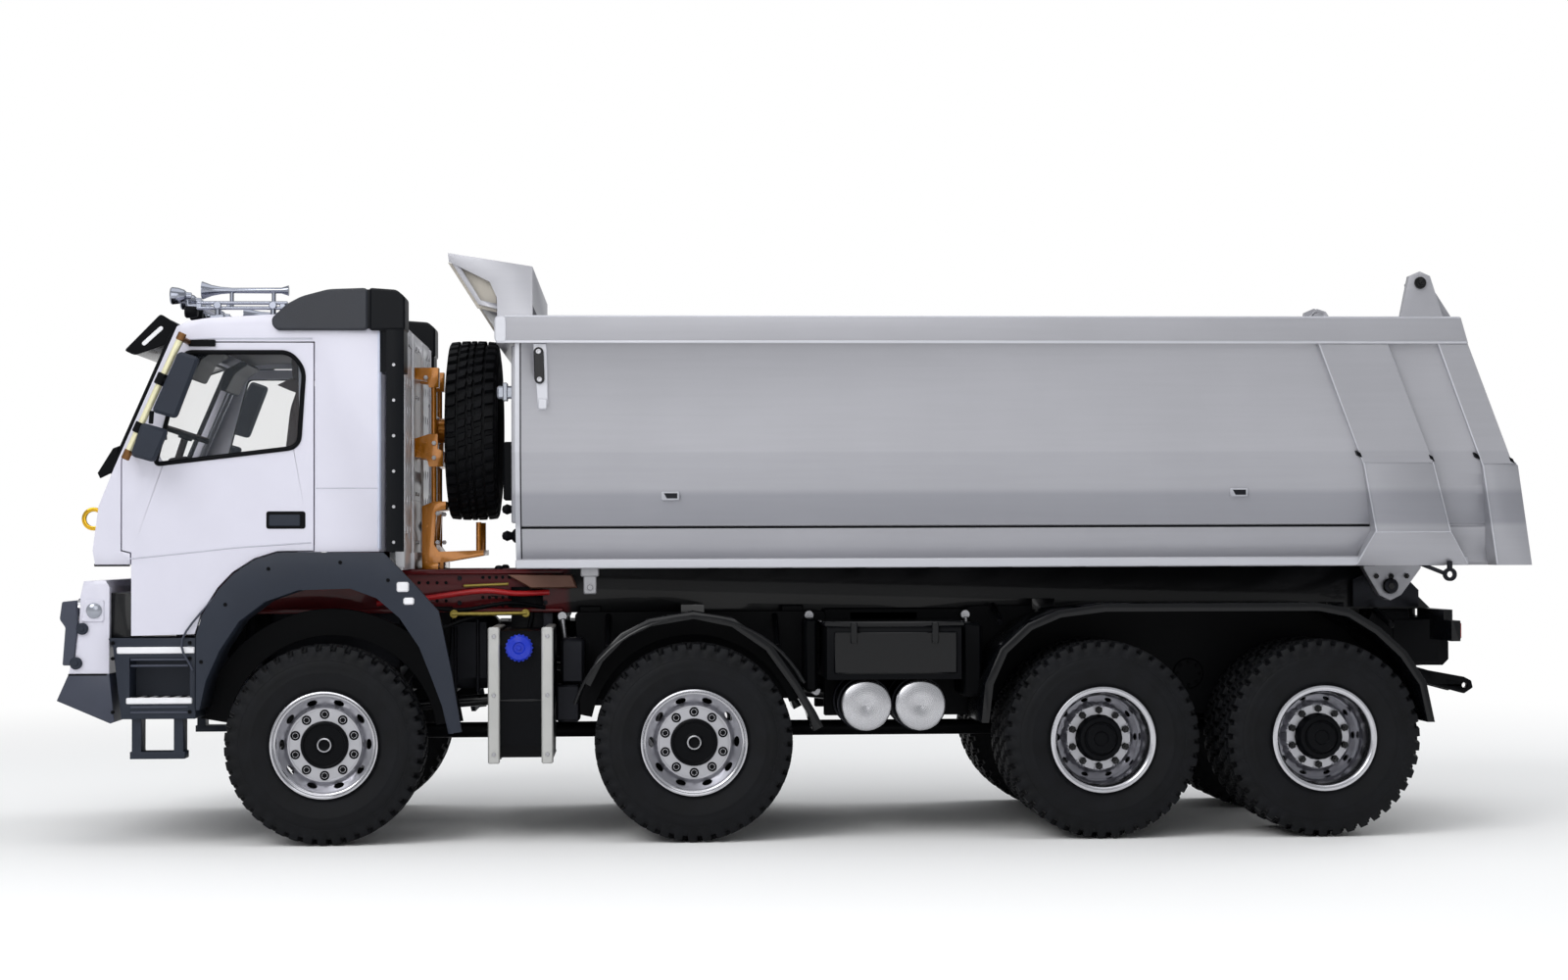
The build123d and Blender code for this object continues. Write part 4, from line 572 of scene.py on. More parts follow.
def piece(name, shape, finish, body="chassis", smooth=38.0, hides=(), axis_at=None):
    """Puts a shape into the scene on a body. axis_at is the (x, z) of a wheel's axis, for turned metal."""
    mesh = bpy.data.meshes.new(name)
    loops = np.concatenate([shape.quads.ravel(), shape.tris.ravel()]).astype(np.int32)
    sizes = np.repeat([4, 3], [len(shape.quads), len(shape.tris)]).astype(np.int32)
    mesh.vertices.add(len(shape.points))
    mesh.vertices.foreach_set("co", (shape.points * MM).astype(np.float32).ravel())
    mesh.loops.add(len(loops))
    mesh.loops.foreach_set("vertex_index", loops)
    mesh.polygons.add(len(sizes))
    mesh.polygons.foreach_set("loop_start", (np.cumsum(sizes) - sizes).astype(np.int32))
    mesh.polygons.foreach_set("loop_total", sizes)
    mesh.update(calc_edges=True)
    mesh.materials.append(finish)
    mesh.shade_smooth()
    mesh.set_sharp_from_angle(angle=math.radians(smooth))
    if axis_at:
        reach = np.hypot(shape.points[:, 0] - axis_at[0], shape.points[:, 2] - axis_at[1]) * MM
        mesh.attributes.new("turning", "FLOAT", "POINT").data.foreach_set("value", reach.astype(np.float32))
    obj = bpy.data.objects.new(name, mesh)
    bpy.context.scene.collection.objects.link(obj)
    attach(obj, body)
    if hides:
        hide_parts(*hides)
    return obj


NODE_FINISHES = {
    "frame_rails": FRAME_PAINT,
    "engine_block": DARK_METAL,
    "leaf_springs": BLACK,
    "steer_axles": BLACK,
    "drive_axles": BLACK,
    "bumper": CAB_PAINT,
    "bumper_guard": SLATE_SOFT,
    "cab_steps": SLATE,
    "tow_ring": GOLD,
    "cab_shell": CAB_PAINT,
    "windscreen": GLASS,
    "cab_interior": INTERIOR,
    "cab_arches": SLATE,
    "side_fairings": DEFLECTOR_BACK,
    "sun_visor": BLACK_GLOSS,
    "roof_bar": GREY_CHROME,
    "cab_rack": WHITE_METAL,
    "mudguards": BLACK_GLOSS,
    "fuel_tank": BLACK,
    "air_unit": BLACK,
    "spare_tyre": RUBBER,
    "spare_rim": RIM_METAL,
    "spare_carrier": ORANGE,
    "tipping_base": DARK_METAL,
    "tow_coupling": BLACK,
    "tail_lamps": BLACK_GLOSS,
    "bed_shell": BED_METAL,
    "tailgate": BED_METAL,
    "cylinder_barrel": BLACK,
}
NODE_GROUPS = [
    # start of the node's name, its finish
    ("door_glass", GLASS),
    ("door_", CAB_PAINT),
    ("mirrors", SLATE),
    ("knuckle", BLACK),
    ("cylinder_stage", CHROME),
    ("wheel", RIM_METAL),
]
EDGE_CUT = 0.3 * MM
WELD_REACH = 0.002 * MM
CUT_ANGLE = 28.0
FLAT_DOORS = ("door_left", "door_right")


def finish_of(node):
    """The node's own finish, or that of the first group its name starts with."""
    if node in NODE_FINISHES:
        return NODE_FINISHES[node]
    return next(finish for start, finish in NODE_GROUPS if node.startswith(start))


def dress_nodes():
    """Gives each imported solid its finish, and rounds its edges after merging its loose triangles.

    The doors' wide panels stay flat to the eye, as their normals follow the largest faces.
    """
    for name, obj in NODES.items():
        obj.data.materials.clear()
        obj.data.materials.append(finish_of(name))
        weld = obj.modifiers.new("weld", "WELD")
        weld.merge_threshold = WELD_REACH
        bevel = obj.modifiers.new("bevel", "BEVEL")
        bevel.width = EDGE_CUT
        bevel.segments = 2
        bevel.limit_method = "ANGLE"
        bevel.angle_limit = math.radians(CUT_ANGLE)
        bevel.harden_normals = True
        obj.data.shade_smooth()
        if name in FLAT_DOORS:
            flat = obj.modifiers.new("flat", "WEIGHTED_NORMAL")
            flat.mode = "FACE_AREA"
            flat.weight = 90


dress_nodes()


def tyre_shape(radius=TYRE_R, width=TYRE_W):
    """Tyre about +Z with its middle at 0, as one grid wrapped both ways.

    Columns go round in pitches of four: two at a lug's sides and two at the groove's. Each row has
    a width place, a radius and a groove depth; a row's columns shift round by its slant, so lugs
    lean and the middle blocks sit half a pitch off the shoulder lugs.
    """
    pitches = 42
    steps = np.array([0.0, 0.07, 0.60, 0.67])
    on = np.array([1.0, 1.0, 0.0, 0.0])
    cols = (np.arange(pitches)[:, None] + steps[None]).ravel() / pitches
    groove = np.tile(np.roll(on, -1), pitches)
    wall = radius - BEAD_R
    # place across in half widths, depth below the crown, groove depth, share of a pitch shifted
    side = [
        (0.76, wall + 0.3, 0.0, 0.0), (0.80, wall - 0.4, 0.0, 0.0), (0.85, wall - 1.2, 0.0, 0.0),
        (0.86, wall - 1.8, 0.0, 0.0), (0.95, 14.2, 0.0, 0.0), (0.99, 12.0, 0.0, 0.0),
        (0.995, 11.7, 0.0, 0.0), (0.985, 11.4, 0.0, 0.0), (0.995, 9.6, 0.0, 0.0), (0.985, 7.4, 0.0, 0.0),
        (0.96, 6.9, 0.0, 0.0), (0.965, 6.6, 0.0, 0.0), (0.955, 6.3, 0.2, 0.0), (0.945, 3.8, 1.2, 0.0),
        (0.92, 1.8, 1.9, 0.0), (0.86, 0.7, 2.1, 0.02), (0.62, 0.35, 2.1, 0.1), (0.56, 0.35, 2.1, 0.14),
        (0.545, 2.2, 0.0, 0.16), (0.45, 2.2, 0.0, 0.3), (0.435, 0.2, 1.6, 0.34), (0.18, 0.1, 1.6, 0.5),
        (0.165, 1.9, 0.0, 0.52), (0.08, 1.9, 0.0, 0.6), (0.065, 0.05, 1.4, 0.64),
    ]
    left = np.array(side)
    right = left[::-1] * np.array([-1.0, 1.0, 1.0, -1.0]) + np.array([0.0, 0.0, 0.0, 1.3])
    rows = np.concatenate([left, right])
    # zigzag of the groove edges
    middle = (np.abs(rows[:, 0]) < 0.5)[:, None]
    zig = np.where(middle, 0.03 * np.cos(2 * math.pi * cols * pitches)[None], 0.0)
    w = (rows[:, 0][:, None] + zig) * width / 2
    r = radius - rows[:, 1][:, None] - rows[:, 2][:, None] * groove[None]
    a = 2 * math.pi * (cols[None] + rows[:, 3][:, None] / pitches)
    points = np.stack([r * np.cos(a), r * np.sin(a), w], -1)
    return Shape(points, grid_faces(len(rows), len(cols), wrap_rows=True, wrap_cols=True)).outward()


def welded(shape, step=0.002):
    """The shape with points that lie together made one."""
    key = np.round(shape.points / step).astype(np.int64)
    _, first, back = np.unique(key, axis=0, return_index=True, return_inverse=True)
    back = back.ravel()
    return Shape(shape.points[first], back[shape.quads], back[shape.tris])


def holed_disc(profile, count, hole_r, half_r, half_t, depth, start=0.0):
    """Disc about +Z with a ring of oval through holes.

    profile lists (radius, height) from inside to outside. Each of the count sectors is a square
    ring of points blended from the oval's edge to the sector's edge, once for the front and once,
    depth lower, for the back; walls join the two round the hole, the inside and the outside.
    """
    prof = np.asarray(profile, float)
    r_in, r_out = prof[0, 0], prof[-1, 0]
    k = HOLE_POINTS
    side = np.linspace(-1, 1, k // 4, endpoint=False)
    one = np.ones(k // 4)
    u = np.concatenate([side, one, -side, -one])
    v = np.concatenate([-one, side, one, -side])
    v0 = 2 * (hole_r - r_in) / (r_out - r_in) - 1
    av = 2 * half_r / (r_out - r_in)
    bu = half_t / (hole_r * math.pi / count)
    phi = np.arctan2((v - v0) / av, u / bu)
    s = np.linspace(0, 1, 7)[:, None]
    pu = bu * np.cos(phi) * (1 - s) + u * s
    pv = (v0 + av * np.sin(phi)) * (1 - s) + v * s
    r = r_in + (pv + 1) / 2 * (r_out - r_in)
    z = np.interp(r, prof[:, 0], prof[:, 1])
    n = s.size * k
    quads = grid_faces(7, k, wrap_cols=True)
    j = np.arange(k)
    j2 = (j + 1) % k
    hole = np.stack([j2, j, j + n, j2 + n], 1)
    rim = np.abs(v) == 1
    edge = rim[j] & rim[j2] & (v[j] == v[j2])
    outer = np.stack([j, j2, j2 + n, j + n], 1)[edge] + 6 * k
    faces = np.concatenate([quads[:, ::-1], quads + n, hole, outer])
    sectors = []
    for i in range(count):
        a = start + 2 * math.pi * i / count + pu * math.pi / count
        front = np.stack([r * np.cos(a), r * np.sin(a), z], -1).reshape(-1, 3)
        back = front - np.array([0.0, 0.0, depth])
        sectors.append(Shape(np.concatenate([front, back]), faces))
    return welded(joined(sectors)).outward()


def nut(r=1.6, h=1.5, stud=0.7):
    """Hex nut on +Z with a chamfered top and a round stud."""
    body = lathe([(0, -0.6), (r, -0.6), (r, 0.8 * h), (0.82 * r, h), (0, h)], 6)
    pin = [(0, h - 0.1), (stud, h - 0.1), (stud, h + 0.5), (0.7 * stud, h + 0.7), (0, h + 0.7)]
    return body + lathe(pin, 10)


def cap_screw(r=1.3, h=1.3):
    """Socket screw head on +Z: rounded rim and a pocket."""
    rim = [(r, -0.3), (r, 0.75 * h), (0.86 * r, h), (0.52 * r, h)]
    pocket = [(0.5 * r, h - 0.05), (0.46 * r, 0.45 * h), (0, 0.4 * h)]
    return lathe([(0, -0.3)] + rim + pocket, 18)


def rim_single():
    """Front rim about +Z, 0 at the tyre's outer face: stepped bowl with hand holes, bolts and hub."""
    barrel = lathe_ring([
        (22.9, -1.2), (22.6, -0.5), (22.0, -0.3), (21.6, -0.7), (21.4, -2.4), (20.9, -2.9), (20.6, -3.0),
        (20.4, -4.6), (20.3, -7.5), (21.0, -10.0), (21.0, RIM_BACK), (23.0, RIM_BACK), (23.0, -3.0),
    ])
    bowl = [(9.8, -4.2), (15.6, -4.2), (16.1, -4.6), (16.9, -6.4), (17.4, -6.8), (19.9, -7.6), (20.6, -7.7)]
    web = holed_disc(bowl, WHEEL_BOLTS, 18.3, 1.15, 2.3, 2.2)
    step = lathe_ring([(15.9, -4.35), (15.6, -3.9), (15.0, -3.9), (14.8, -4.35)])
    hub = lathe([
        (0, -12), (9.9, -12), (10.1, -3.4), (9.7, -2.7), (9.2, -2.5), (8.8, -2.7), (8.6, -3.3), (7.2, -3.5),
        (4.2, -3.4), (3.4, -2.7), (3.0, -2.5), (2.7, -2.9), (2.2, -3.2), (0, -3.2),
    ], 48)
    socket = [(0, -0.4), (2.05, -0.4), (2.05, 0.15), (1.7, 0.3), (1.3, 0.1), (1.25, -0.3), (0, -0.3)]
    bolts = ring_of(lathe(socket, 16) + nut(1.15, 0.5, 0.5), WHEEL_BOLTS, 12.9, 18.0).at(0, 0, -4.2)
    ring = lathe_ring([(3.1, -2.7), (3.0, -2.3), (2.5, -2.2), (2.3, -2.9)], 32)
    return [(barrel, RIM_METAL), (web + step, RIM_FACE), (hub, BLACK), (bolts, BLACK), (ring, STEEL)]


def rim_twin():
    """Twin rims about +Z: deep outer well, sunk disc with nuts, tall hub with a cap."""
    inboard = -3.0 - TWIN_PITCH
    outer = lathe_ring([
        (22.9, -1.2), (22.6, -0.5), (22.0, -0.3), (21.0, -0.4), (20.2, -1.1), (19.9, -2.6), (19.4, -3.4),
        (19.2, -7.0), (18.6, -8.0), (18.2, -16.0), (18.0, RIM_BACK), (23.0, RIM_BACK), (23.0, -3.0),
    ])
    inner = lathe_ring([
        (23.0, inboard), (22.5, inboard + 1.8), (18.0, inboard + 1.8), (18.0, RIM_BACK - TWIN_PITCH),
        (23.0, RIM_BACK - TWIN_PITCH),
    ], 64)
    dish = [(9.0, -12.6), (13.9, -12.6), (14.4, -13.2), (15.0, -17.0), (15.6, -17.6), (18.6, -18.6)]
    web = holed_disc(dish, WHEEL_BOLTS, 16.9, 0.85, 1.6, 2.0)
    hub = lathe([
        (0, -30), (10.2, -30), (10.2, -11.6), (9.8, -11.0), (9.4, -7.2), (8.9, -6.6), (7.4, -6.4),
        (7.1, -7.0), (0, -7.0),
    ], 20)
    cap = lathe([
        (0, -12), (6.6, -12), (6.6, -6.3), (6.0, -5.6), (3.3, -5.4), (2.8, -6.0), (2.4, -6.0), (0, -6.0),
    ], 32)
    nuts = ring_of(nut(1.65, 2.2, 0.7), WHEEL_BOLTS, 12.1, 18.0).at(0, 0, -12.6)
    return [(outer + inner, RIM_METAL), (web, RIM_FACE), (hub + cap, BLACK), (nuts, BLACK_GLOSS)]


def wheels():
    """Each wheel's tyres and rims, in place of the plain solids they ride with."""
    tyre = tyre_shape()
    for axle, axle_x in AXLES.items():
        twin = axle > 2
        offsets = [TYRE_W / 2 + i * TWIN_PITCH for i in range(2 if twin else 1)]
        tread = joined(tyre.turned(turn("Z", 4.0 * i)).at(0, 0, -d) for i, d in enumerate(offsets))
        parts = [("tread", tread, RUBBER)]
        parts += [(f"rim_{i}", *part) for i, part in enumerate(rim_twin() if twin else rim_single())]
        for word, side in SIDES.items():
            wheel = f"wheel_{axle}_{word}"
            hides = {"tread": [wheel + "_tyre"], "rim_0": [wheel + "_rim"]}
            for name, shape, finish in parts:
                placed = shape.turned(turn("X", -90.0 * side)).at(axle_x, side * WHEEL_OUT_Y, TYRE_R)
                centre = (axle_x, TYRE_R)
                piece(f"{wheel}_{name}", placed, finish, wheel, hides=hides.get(name, ()), axis_at=centre)


wheels()


# Outside of the bed's left wall below its rail: (y, z)
WALL = [(88.0, 212.4), (88.0, 166.0), (85.6, 149.3), (81.6, 134.8), (81.4, 133.2), (76.5, 120.6)]
BED_FRONT_X = 122.2
RAIL_LOW_Z = 212.2
STRIP_DEPTH = 0.4
RIB_FRONT = [(-222.6, RAIL_LOW_Z), (-241.9, 160.2), (-247.0, 131.6), (-240.2, 117.2)]
RIB_BACK = [(-252.1, RAIL_LOW_Z), (-272.2, 160.2), (-279.4, 131.0), (-289.0, 117.2)]
POST_FRONT = [(-274.8, RAIL_LOW_Z), (-294.0, 159.4), (-299.8, 117.0)]
RIB_Y = 90.2
RIB_TUCK_Y = 83.2
RIB_PROUD = 0.45
EYE_X, EYE_Y, EYE_Z = -280.6, 84.6, 112.6
HINGE_Y = 41.0
# Where the creases of wall, ribs and post meet: (x, z)
NOTCHES = [(-239.6, 164.6), (-271.2, 163.0), (-291.2, 163.8), (-306.4, 161.9)]
# Tarpaulin hooks: name, x, z and y of their face
HOOKS = [("front", 56.8, 147.3, 84.9), ("rear", -188.2, 148.3, 85.2)]
FRONT_RIB_YS = (30.0, 48.0, 78.0)
CROSSBAR_XS = range(-250, 70, 32)
GATE_RIB_YS = (-66.0, -33.0, 0.0, 33.0, 66.0)


def pair(name, shape, finish, stem, smooth=38.0):
    """A left piece and its mirror image, on the bodies stem_left and stem_right."""
    for word, side in SIDES.items():
        piece(f"{name}_{word}", shape.on(side), finish, f"{stem}_{word}", smooth)


def rounded(outline, radius, steps=5):
    """Closed outline with each corner replaced by a parabola that starts this far from the corner."""
    p = np.asarray(outline, float)
    before, after = np.roll(p, 1, 0) - p, np.roll(p, -1, 0) - p
    lengths = np.minimum(np.linalg.norm(before, axis=1), np.linalg.norm(after, axis=1))
    cut = np.minimum(np.broadcast_to(radius, len(p)), 0.45 * lengths)[:, None]
    a = p + before / np.linalg.norm(before, axis=1)[:, None] * cut
    b = p + after / np.linalg.norm(after, axis=1)[:, None] * cut
    t = np.linspace(0, 1, steps + 1)[None, :, None]
    return (a[:, None] * (1 - t) ** 2 + p[:, None] * 2 * t * (1 - t) + b[:, None] * t**2).reshape(-1, 2)


def oblong(x0, x1, z0, z1, radius=0.0):
    """Outline of an upright rectangle, its corners rounded if a radius is given."""
    corners = [(x0, z0), (x1, z0), (x1, z1), (x0, z1)]
    return rounded(corners, radius) if radius else corners


def capsule(a, b, radius, steps=8):
    """Outline of a slot from a to b: two half circles."""
    a, b = np.asarray(a, float), np.asarray(b, float)
    way = math.atan2(b[1] - a[1], b[0] - a[0])
    turn_b = way + np.linspace(-0.5, 0.5, steps + 1) * math.pi
    turn_a = turn_b + math.pi
    ends = [p + radius * np.stack([np.cos(t), np.sin(t)], 1) for p, t in ((b, turn_b), (a, turn_a))]
    return np.concatenate(ends)


def out_y(shape, x, y, z):
    """A shape built about +Z, turned to face +Y and placed."""
    return shape.turned(turn("X", -90.0)).at(x, y, z)


def out_x(shape, x, y, z):
    """A shape built about +Z, turned to face +X and placed."""
    return shape.turned(turn("Y", 90.0)).at(x, y, z)


def spread(way, shape, xs, ys, zs):
    """Copies of a shape, turned by out_x or out_y, at every mix of these places; each may be one number."""
    places = [(x, y, z) for x in np.atleast_1d(xs) for y in np.atleast_1d(ys) for z in np.atleast_1d(zs)]
    return joined(way(shape, *place) for place in places)


def blocks(*rows):
    """Cut-edged boxes, one for each row of low corner, high corner and chamfer."""
    return joined(block(*row) for row in rows)


def rods(*rows):
    """Round bars, one for each row of start, end, radius and, if need be, the count of sides."""
    return joined(rod(*row) for row in rows)


def disc(radius, height, n=24, chamfer=0.3):
    """Round boss on +Z with a cut edge, let 0.3 mm into what carries it."""
    c = min(chamfer, 0.4 * height)
    return lathe([(0, -0.3), (radius, -0.3), (radius, height - c), (radius - c, height), (0, height)], n)


def wall_strip(x0, x1, proud):
    """Strip across the side wall from x0 to x1 that follows the wall's section."""
    outline = [(y + proud, z) for y, z in WALL] + [(y - STRIP_DEPTH, z) for y, z in WALL[::-1]]
    return plate(outline, x0, x1, 0.15, axis="X")


def bed_edges():
    """Dark joint above the sill, and edges of sill, rail and front wall in the lighter bed paint as painted
    highlights.
    """
    joint = block((-246.5, 80.2, 133.5), (BED_FRONT_X, 81.3, 134.4), 0.1)
    piece("bed_joint", joint.both(), BLACK, "bed")
    edges = blocks(
        ((-289.2, 82.2, 116.7), (122.8, 83.0, 120.3), 0.3),
        ((-286.9, 90.7, RAIL_LOW_Z), (130.3, 91.35, 213.4), 0.25),
    )
    cap = [(131.2, 223.6), (126.0, 223.8), (126.0, RAIL_LOW_Z), (131.2, 212.4)]
    edges += plate(rounded(cap, 2.4), 87.6, 91.5, 0.5)
    edges += block((-284.0, 88.6, 223.1), (127.0, 91.3, 224.0), 0.3)
    # painted highlight: lighter paint on the sill, rail and front cap edges
    piece("bed_edges", edges.both(), BED_PALE_AND_HIGHLIGHT, "bed")
    # painted highlight down the front wall's corner
    piece("bed_front_edge", wall_strip(120.7, 122.8, 0.5).both(), BED_PALE_AND_HIGHLIGHT, "bed")
    piece("bed_front_seam", wall_strip(120.1, 120.6, 0.12).both(), BLACK, "bed")


def bed_ribs():
    """Upper plates of the ribs, rods in the lighter bed paint down their edges as painted highlights,
    notches at the crease and the rear post's hollow.
    """
    upper_rib = [RIB_FRONT[0], (-241.4, 160.9), (-272.2, 160.9), RIB_BACK[0]]
    upper_post = [POST_FRONT[0], (-293.6, 160.4), (-308.6, 160.4), (-305.6, 163.2), (-287.3, RAIL_LOW_Z)]
    faces = joined(plate(face, RIB_Y - 0.2, RIB_Y + RIB_PROUD, 0.2) for face in (upper_rib, upper_post))
    piece("rib_plates", faces.both(), BED_METAL, "bed")
    ys = [RIB_Y, RIB_Y, RIB_Y, RIB_TUCK_Y]
    foot = [(RIB_FRONT[2][0], 131.0), (RIB_BACK[2][0], 131.0)]
    # painted highlight: thin rods in lighter paint down the ribs' and post's edges
    highlight_beads = joined(
        tube([(x, y, z) for (x, z), y in zip(line, ys)], radius, 8)
        for line, radius in ((RIB_FRONT, 0.42), (RIB_BACK, 0.3), (POST_FRONT, 0.42), (foot, 0.3))
    )
    piece("rib_highlight_beads", highlight_beads.both(), BED_PALE_AND_HIGHLIGHT, "bed")
    notch = plate([(-1.3, -1.5), (0.7, -0.4), (1.3, 1.5), (-0.5, 0.5)], 88.0, 90.82, 0.1)
    marks = joined(notch.at(x, 0.0, z) for x, z in NOTCHES)
    piece("rib_notches", marks.both(), BLACK, "bed")
    gap = [(86.6, 156.0), (85.6, 149.4), (83.4, 141.0), (80.6, 133.0), (78.2, 126.0), (76.8, 120.6)]
    gap += [(76.4, 117.0)]
    hollow = plate(gap + [(y - 1.6, z) for y, z in gap[::-1]], -300.4, -277.0, 0.2, axis="X")
    piece("post_hollow", hollow.both(), BED_METAL, "bed")


def bed_fittings():
    """Crank latch near the front, tarpaulin hooks low on the wall, and the canopy's cheeks."""
    backing = [
        (115.0, 212.2), (109.2, 212.2), (108.6, 187.0), (109.6, 184.0), (113.0, 184.0), (113.8, 198.0)
    ]
    latch = plate(backing, 87.8, 89.3, 0.3) + block((109.0, 89.0, 184.2), (112.8, 90.4, 188.6), 0.4)
    piece("latch_plate", latch.both(), BED_PALE_AND_HIGHLIGHT, "bed")
    arm = plate(capsule((112.6, 208.4), (112.2, 197.0), 2.1), 89.2, 90.7, 0.35)
    piece("latch_arm", arm.both(), BLACK_GLOSS, "bed")
    screws = joined(out_y(cap_screw(1.15, 1.0), x, 90.6, z) for x, z in ((112.6, 208.6), (112.2, 196.8)))
    piece("latch_screws", screws.both(), STEEL, "bed")
    for name, x, z, y in HOOKS:
        ring = plate(oblong(x - 3.9, x + 3.9, z - 1.9, z + 1.9, 0.7), y, y + 1.1, 0.3)
        opening = [(x - 2.9, z - 1.0), (x + 1.6, z - 1.0), (x + 2.8, z + 1.2), (x - 2.9, z + 1.2)]
        piece("hook_" + name, ring.both(), BED_PALE_AND_HIGHLIGHT, "bed")
        piece("hook_slot_" + name, plate(opening, y + 0.6, y + 1.25, 0.1).both(), DARK_METAL, "bed")
    under = [(151.2, 247.0), (138.8, 227.6), (130.6, 225.8), (130.6, 236.0), (136.0, 242.0)]
    piece("canopy_cheeks", plate(under, 83.0, 84.4, 0.2).both(), SHEET_BEIGE, "bed")


def front_wall_fittings():
    """Rubber buffers, a column, clips and ribs on the bed's front wall."""
    cone = lathe([(0, -0.3), (3.0, -0.3), (3.0, 1.2), (1.6, 2.4), (2.3, 4.4), (1.4, 6.2), (0, 6.6)], 18)
    buffers = spread(out_x, cone, 122.5, 72.0, (142.0, 130.6))
    buffers += block((BED_FRONT_X, 56.0, 146.0), (129.0, 62.0, 171.5), 0.8)
    piece("front_buffers", buffers.both(), BLACK, "bed")
    clips = blocks(
        ((BED_FRONT_X, 60.0, 190.0), (131.6, 65.0, 195.6), 0.8),
        ((127.0, 59.0, 189.0), (129.0, 66.0, 197.0), 0.4),
    )
    piece("front_clips", clips.both(), LAMP_GREY, "bed")
    ribs = joined(block((122.3, y - 2.0, 136.0), (124.6, y + 2.0, 212.0), 0.5) for y in FRONT_RIB_YS)
    piece("front_ribs", ribs.both(), BED_METAL, "bed")


def under_bed():
    """Sill brackets, eyebolts, the hinges' bolts, the gate's upper pins and the floor's crossbars."""
    bracket = blocks(
        ((87.4, 73.6, 113.0), (95.2, 80.0, 117.0), 0.5),
        ((88.4, 77.0, 105.6), (94.0, 79.4, 114.0), 0.5),
    )
    bracket += out_y(disc(1.3, 0.8, 14), 91.2, 79.3, 108.4)
    piece("sill_brackets", bracket.both(), BRACKET, "bed")
    eye = out_y(lathe_ring([(2.9, -0.9), (2.9, 0.9), (1.4, 0.9), (1.4, -0.9)], 24), EYE_X, EYE_Y, EYE_Z)
    eye += rods(
        ((EYE_X, EYE_Y, 115.0), (EYE_X, EYE_Y, 118.4), 1.2),
        ((-278.0, EYE_Y, 113.2), (-268.0, 80.6, 117.6), 0.9),
    )
    piece("eyebolts", eye.both(), DARK_METAL, "bed")
    bolts = spread(out_y, nut(1.25, 1.0, 0.5), (-260.6, -267.4, -274.4), HINGE_Y, 111.4)
    bolts += out_y(disc(3.5, 1.4, 24, 0.5) + disc(1.8, 2.2, 6), -267.0, HINGE_Y, 107.0)
    piece("hinge_bolts", bolts.both(), BLACK_GLOSS, "bed")
    pivots = out_y(disc(2.6, 1.1, 24) + nut(1.8, 1.6, 0.8), -266.6, 91.0, 238.5)
    piece("gate_pivots", pivots.both(), BLACK_GLOSS, "bed")
    crossbars = joined(block((x - 2.5, -70.0, 116.3), (x + 2.5, 70.0, 119.7), 0.5) for x in CROSSBAR_XS)
    piece("bed_crossbars", crossbars, DARK_METAL, "bed")


def gate_details():
    """Ribs, a top bar and lower lugs on the tailgate's outside."""
    face = [(-284.0, 219.0), (-305.0, 162.9), (-308.6, 159.8), (-313.4, 124.5)]
    outline = [(x + 0.4, z) for x, z in face] + [(x - 1.5, z - 0.3) for x, z in face[::-1]]
    ribs = joined(plate(outline, y - 3.0, y + 3.0, 0.5) for y in GATE_RIB_YS)
    piece("gate_ribs", ribs, BED_METAL, "tailgate")
    bars = plate([(-283.4, 220.6), (-287.4, 213.0), (-284.0, 211.6), (-280.8, 219.6)], -80.0, 80.0, 0.5)
    bars += plate([(-312.6, 130.0), (-315.4, 129.4), (-316.0, 124.2), (-313.2, 124.2)], -72.0, 72.0, 0.5)
    piece("gate_bars", bars, BED_PALE_AND_HIGHLIGHT, "tailgate")
    screws = joined(out_y(nut(1.2, 0.9, 0.5), x, 84.8, z) for x, z in ((-272.4, 231.6), (-280.0, 219.6)))
    piece("gate_screws", screws.both(), DARK_METAL, "tailgate")


bed_edges()
bed_ribs()
bed_fittings()
front_wall_fittings()
under_bed()
gate_details()


WINDOW = [(261.2, 208.4), (217.2, 208.4), (211.4, 201.2), (213.6, 168.2), (273.6, 161.1)]
DOOR_Y = 88.0
SEAM_LIFT = 0.02
MIRROR_TOP = np.array([260.7, 98.0, 215.0])
MIRROR_LOW = np.array([283.6, 98.0, 164.2])
# Outlines of a door's two mirror heads: (x, z)
MIRROR_HEADS = [
    [(261.4, 208.0), (252.8, 205.0), (262.4, 179.6), (272.6, 182.6)],
    [(276.6, 178.2), (265.6, 175.0), (271.4, 161.4), (281.2, 164.2)],
]
# The cab front's slope between the nose and the roof: (x, z)
NOSE_TOP = (290.8, 159.3)
BROW = (264.6, 219.3)
WIPERS = [(22.0, 62.0), (-30.0, 10.0)]
BAR_Z = 229.9
BAR_END_Y = 69.0
HORN_Y = 60.0
BAR_LAMP_X, BAR_LAMP_Z = 262.4, 234.4
BAR_LAMP_YS = (65.0, 40.0, 15.0)
HORN_POST_XS = (246.0, 228.0)
BAR_FOOT_XS = (250.6, 227.0)


def door_details():
    """Window seal, crease, handle and handle frame of each door."""
    path = rounded(WINDOW, [3.0, 5.0, 5.0, 5.0, 2.4], 6)
    seal = tube([(x, DOOR_Y + 0.05, z) for x, z in path], 1.0, 10, closed=True)
    pair("window_seal", seal, BLACK, "door")
    line = [(284.0, 121.4), (262.0, 123.6), (240.4, 125.9), (208.4, 128.0)]
    pair("door_crease", tube([(x, DOOR_Y + SEAM_LIFT, z) for x, z in line], 0.3, 6), SEAM, "door")
    base = block((211.6, 86.4, 134.4), (226.4, 87.1, 140.4), 0.2)
    base += plate(oblong(210.8, 227.2, 133.8, 141.2, 1.2), 87.7, 88.35, 0.25)
    pair("handle_frame", base, BLACK, "door")
    pair("handle", plate(oblong(213.0, 226.0, 135.0, 139.8, 0.8), 87.9, 88.7, 0.3), SLATE, "door")


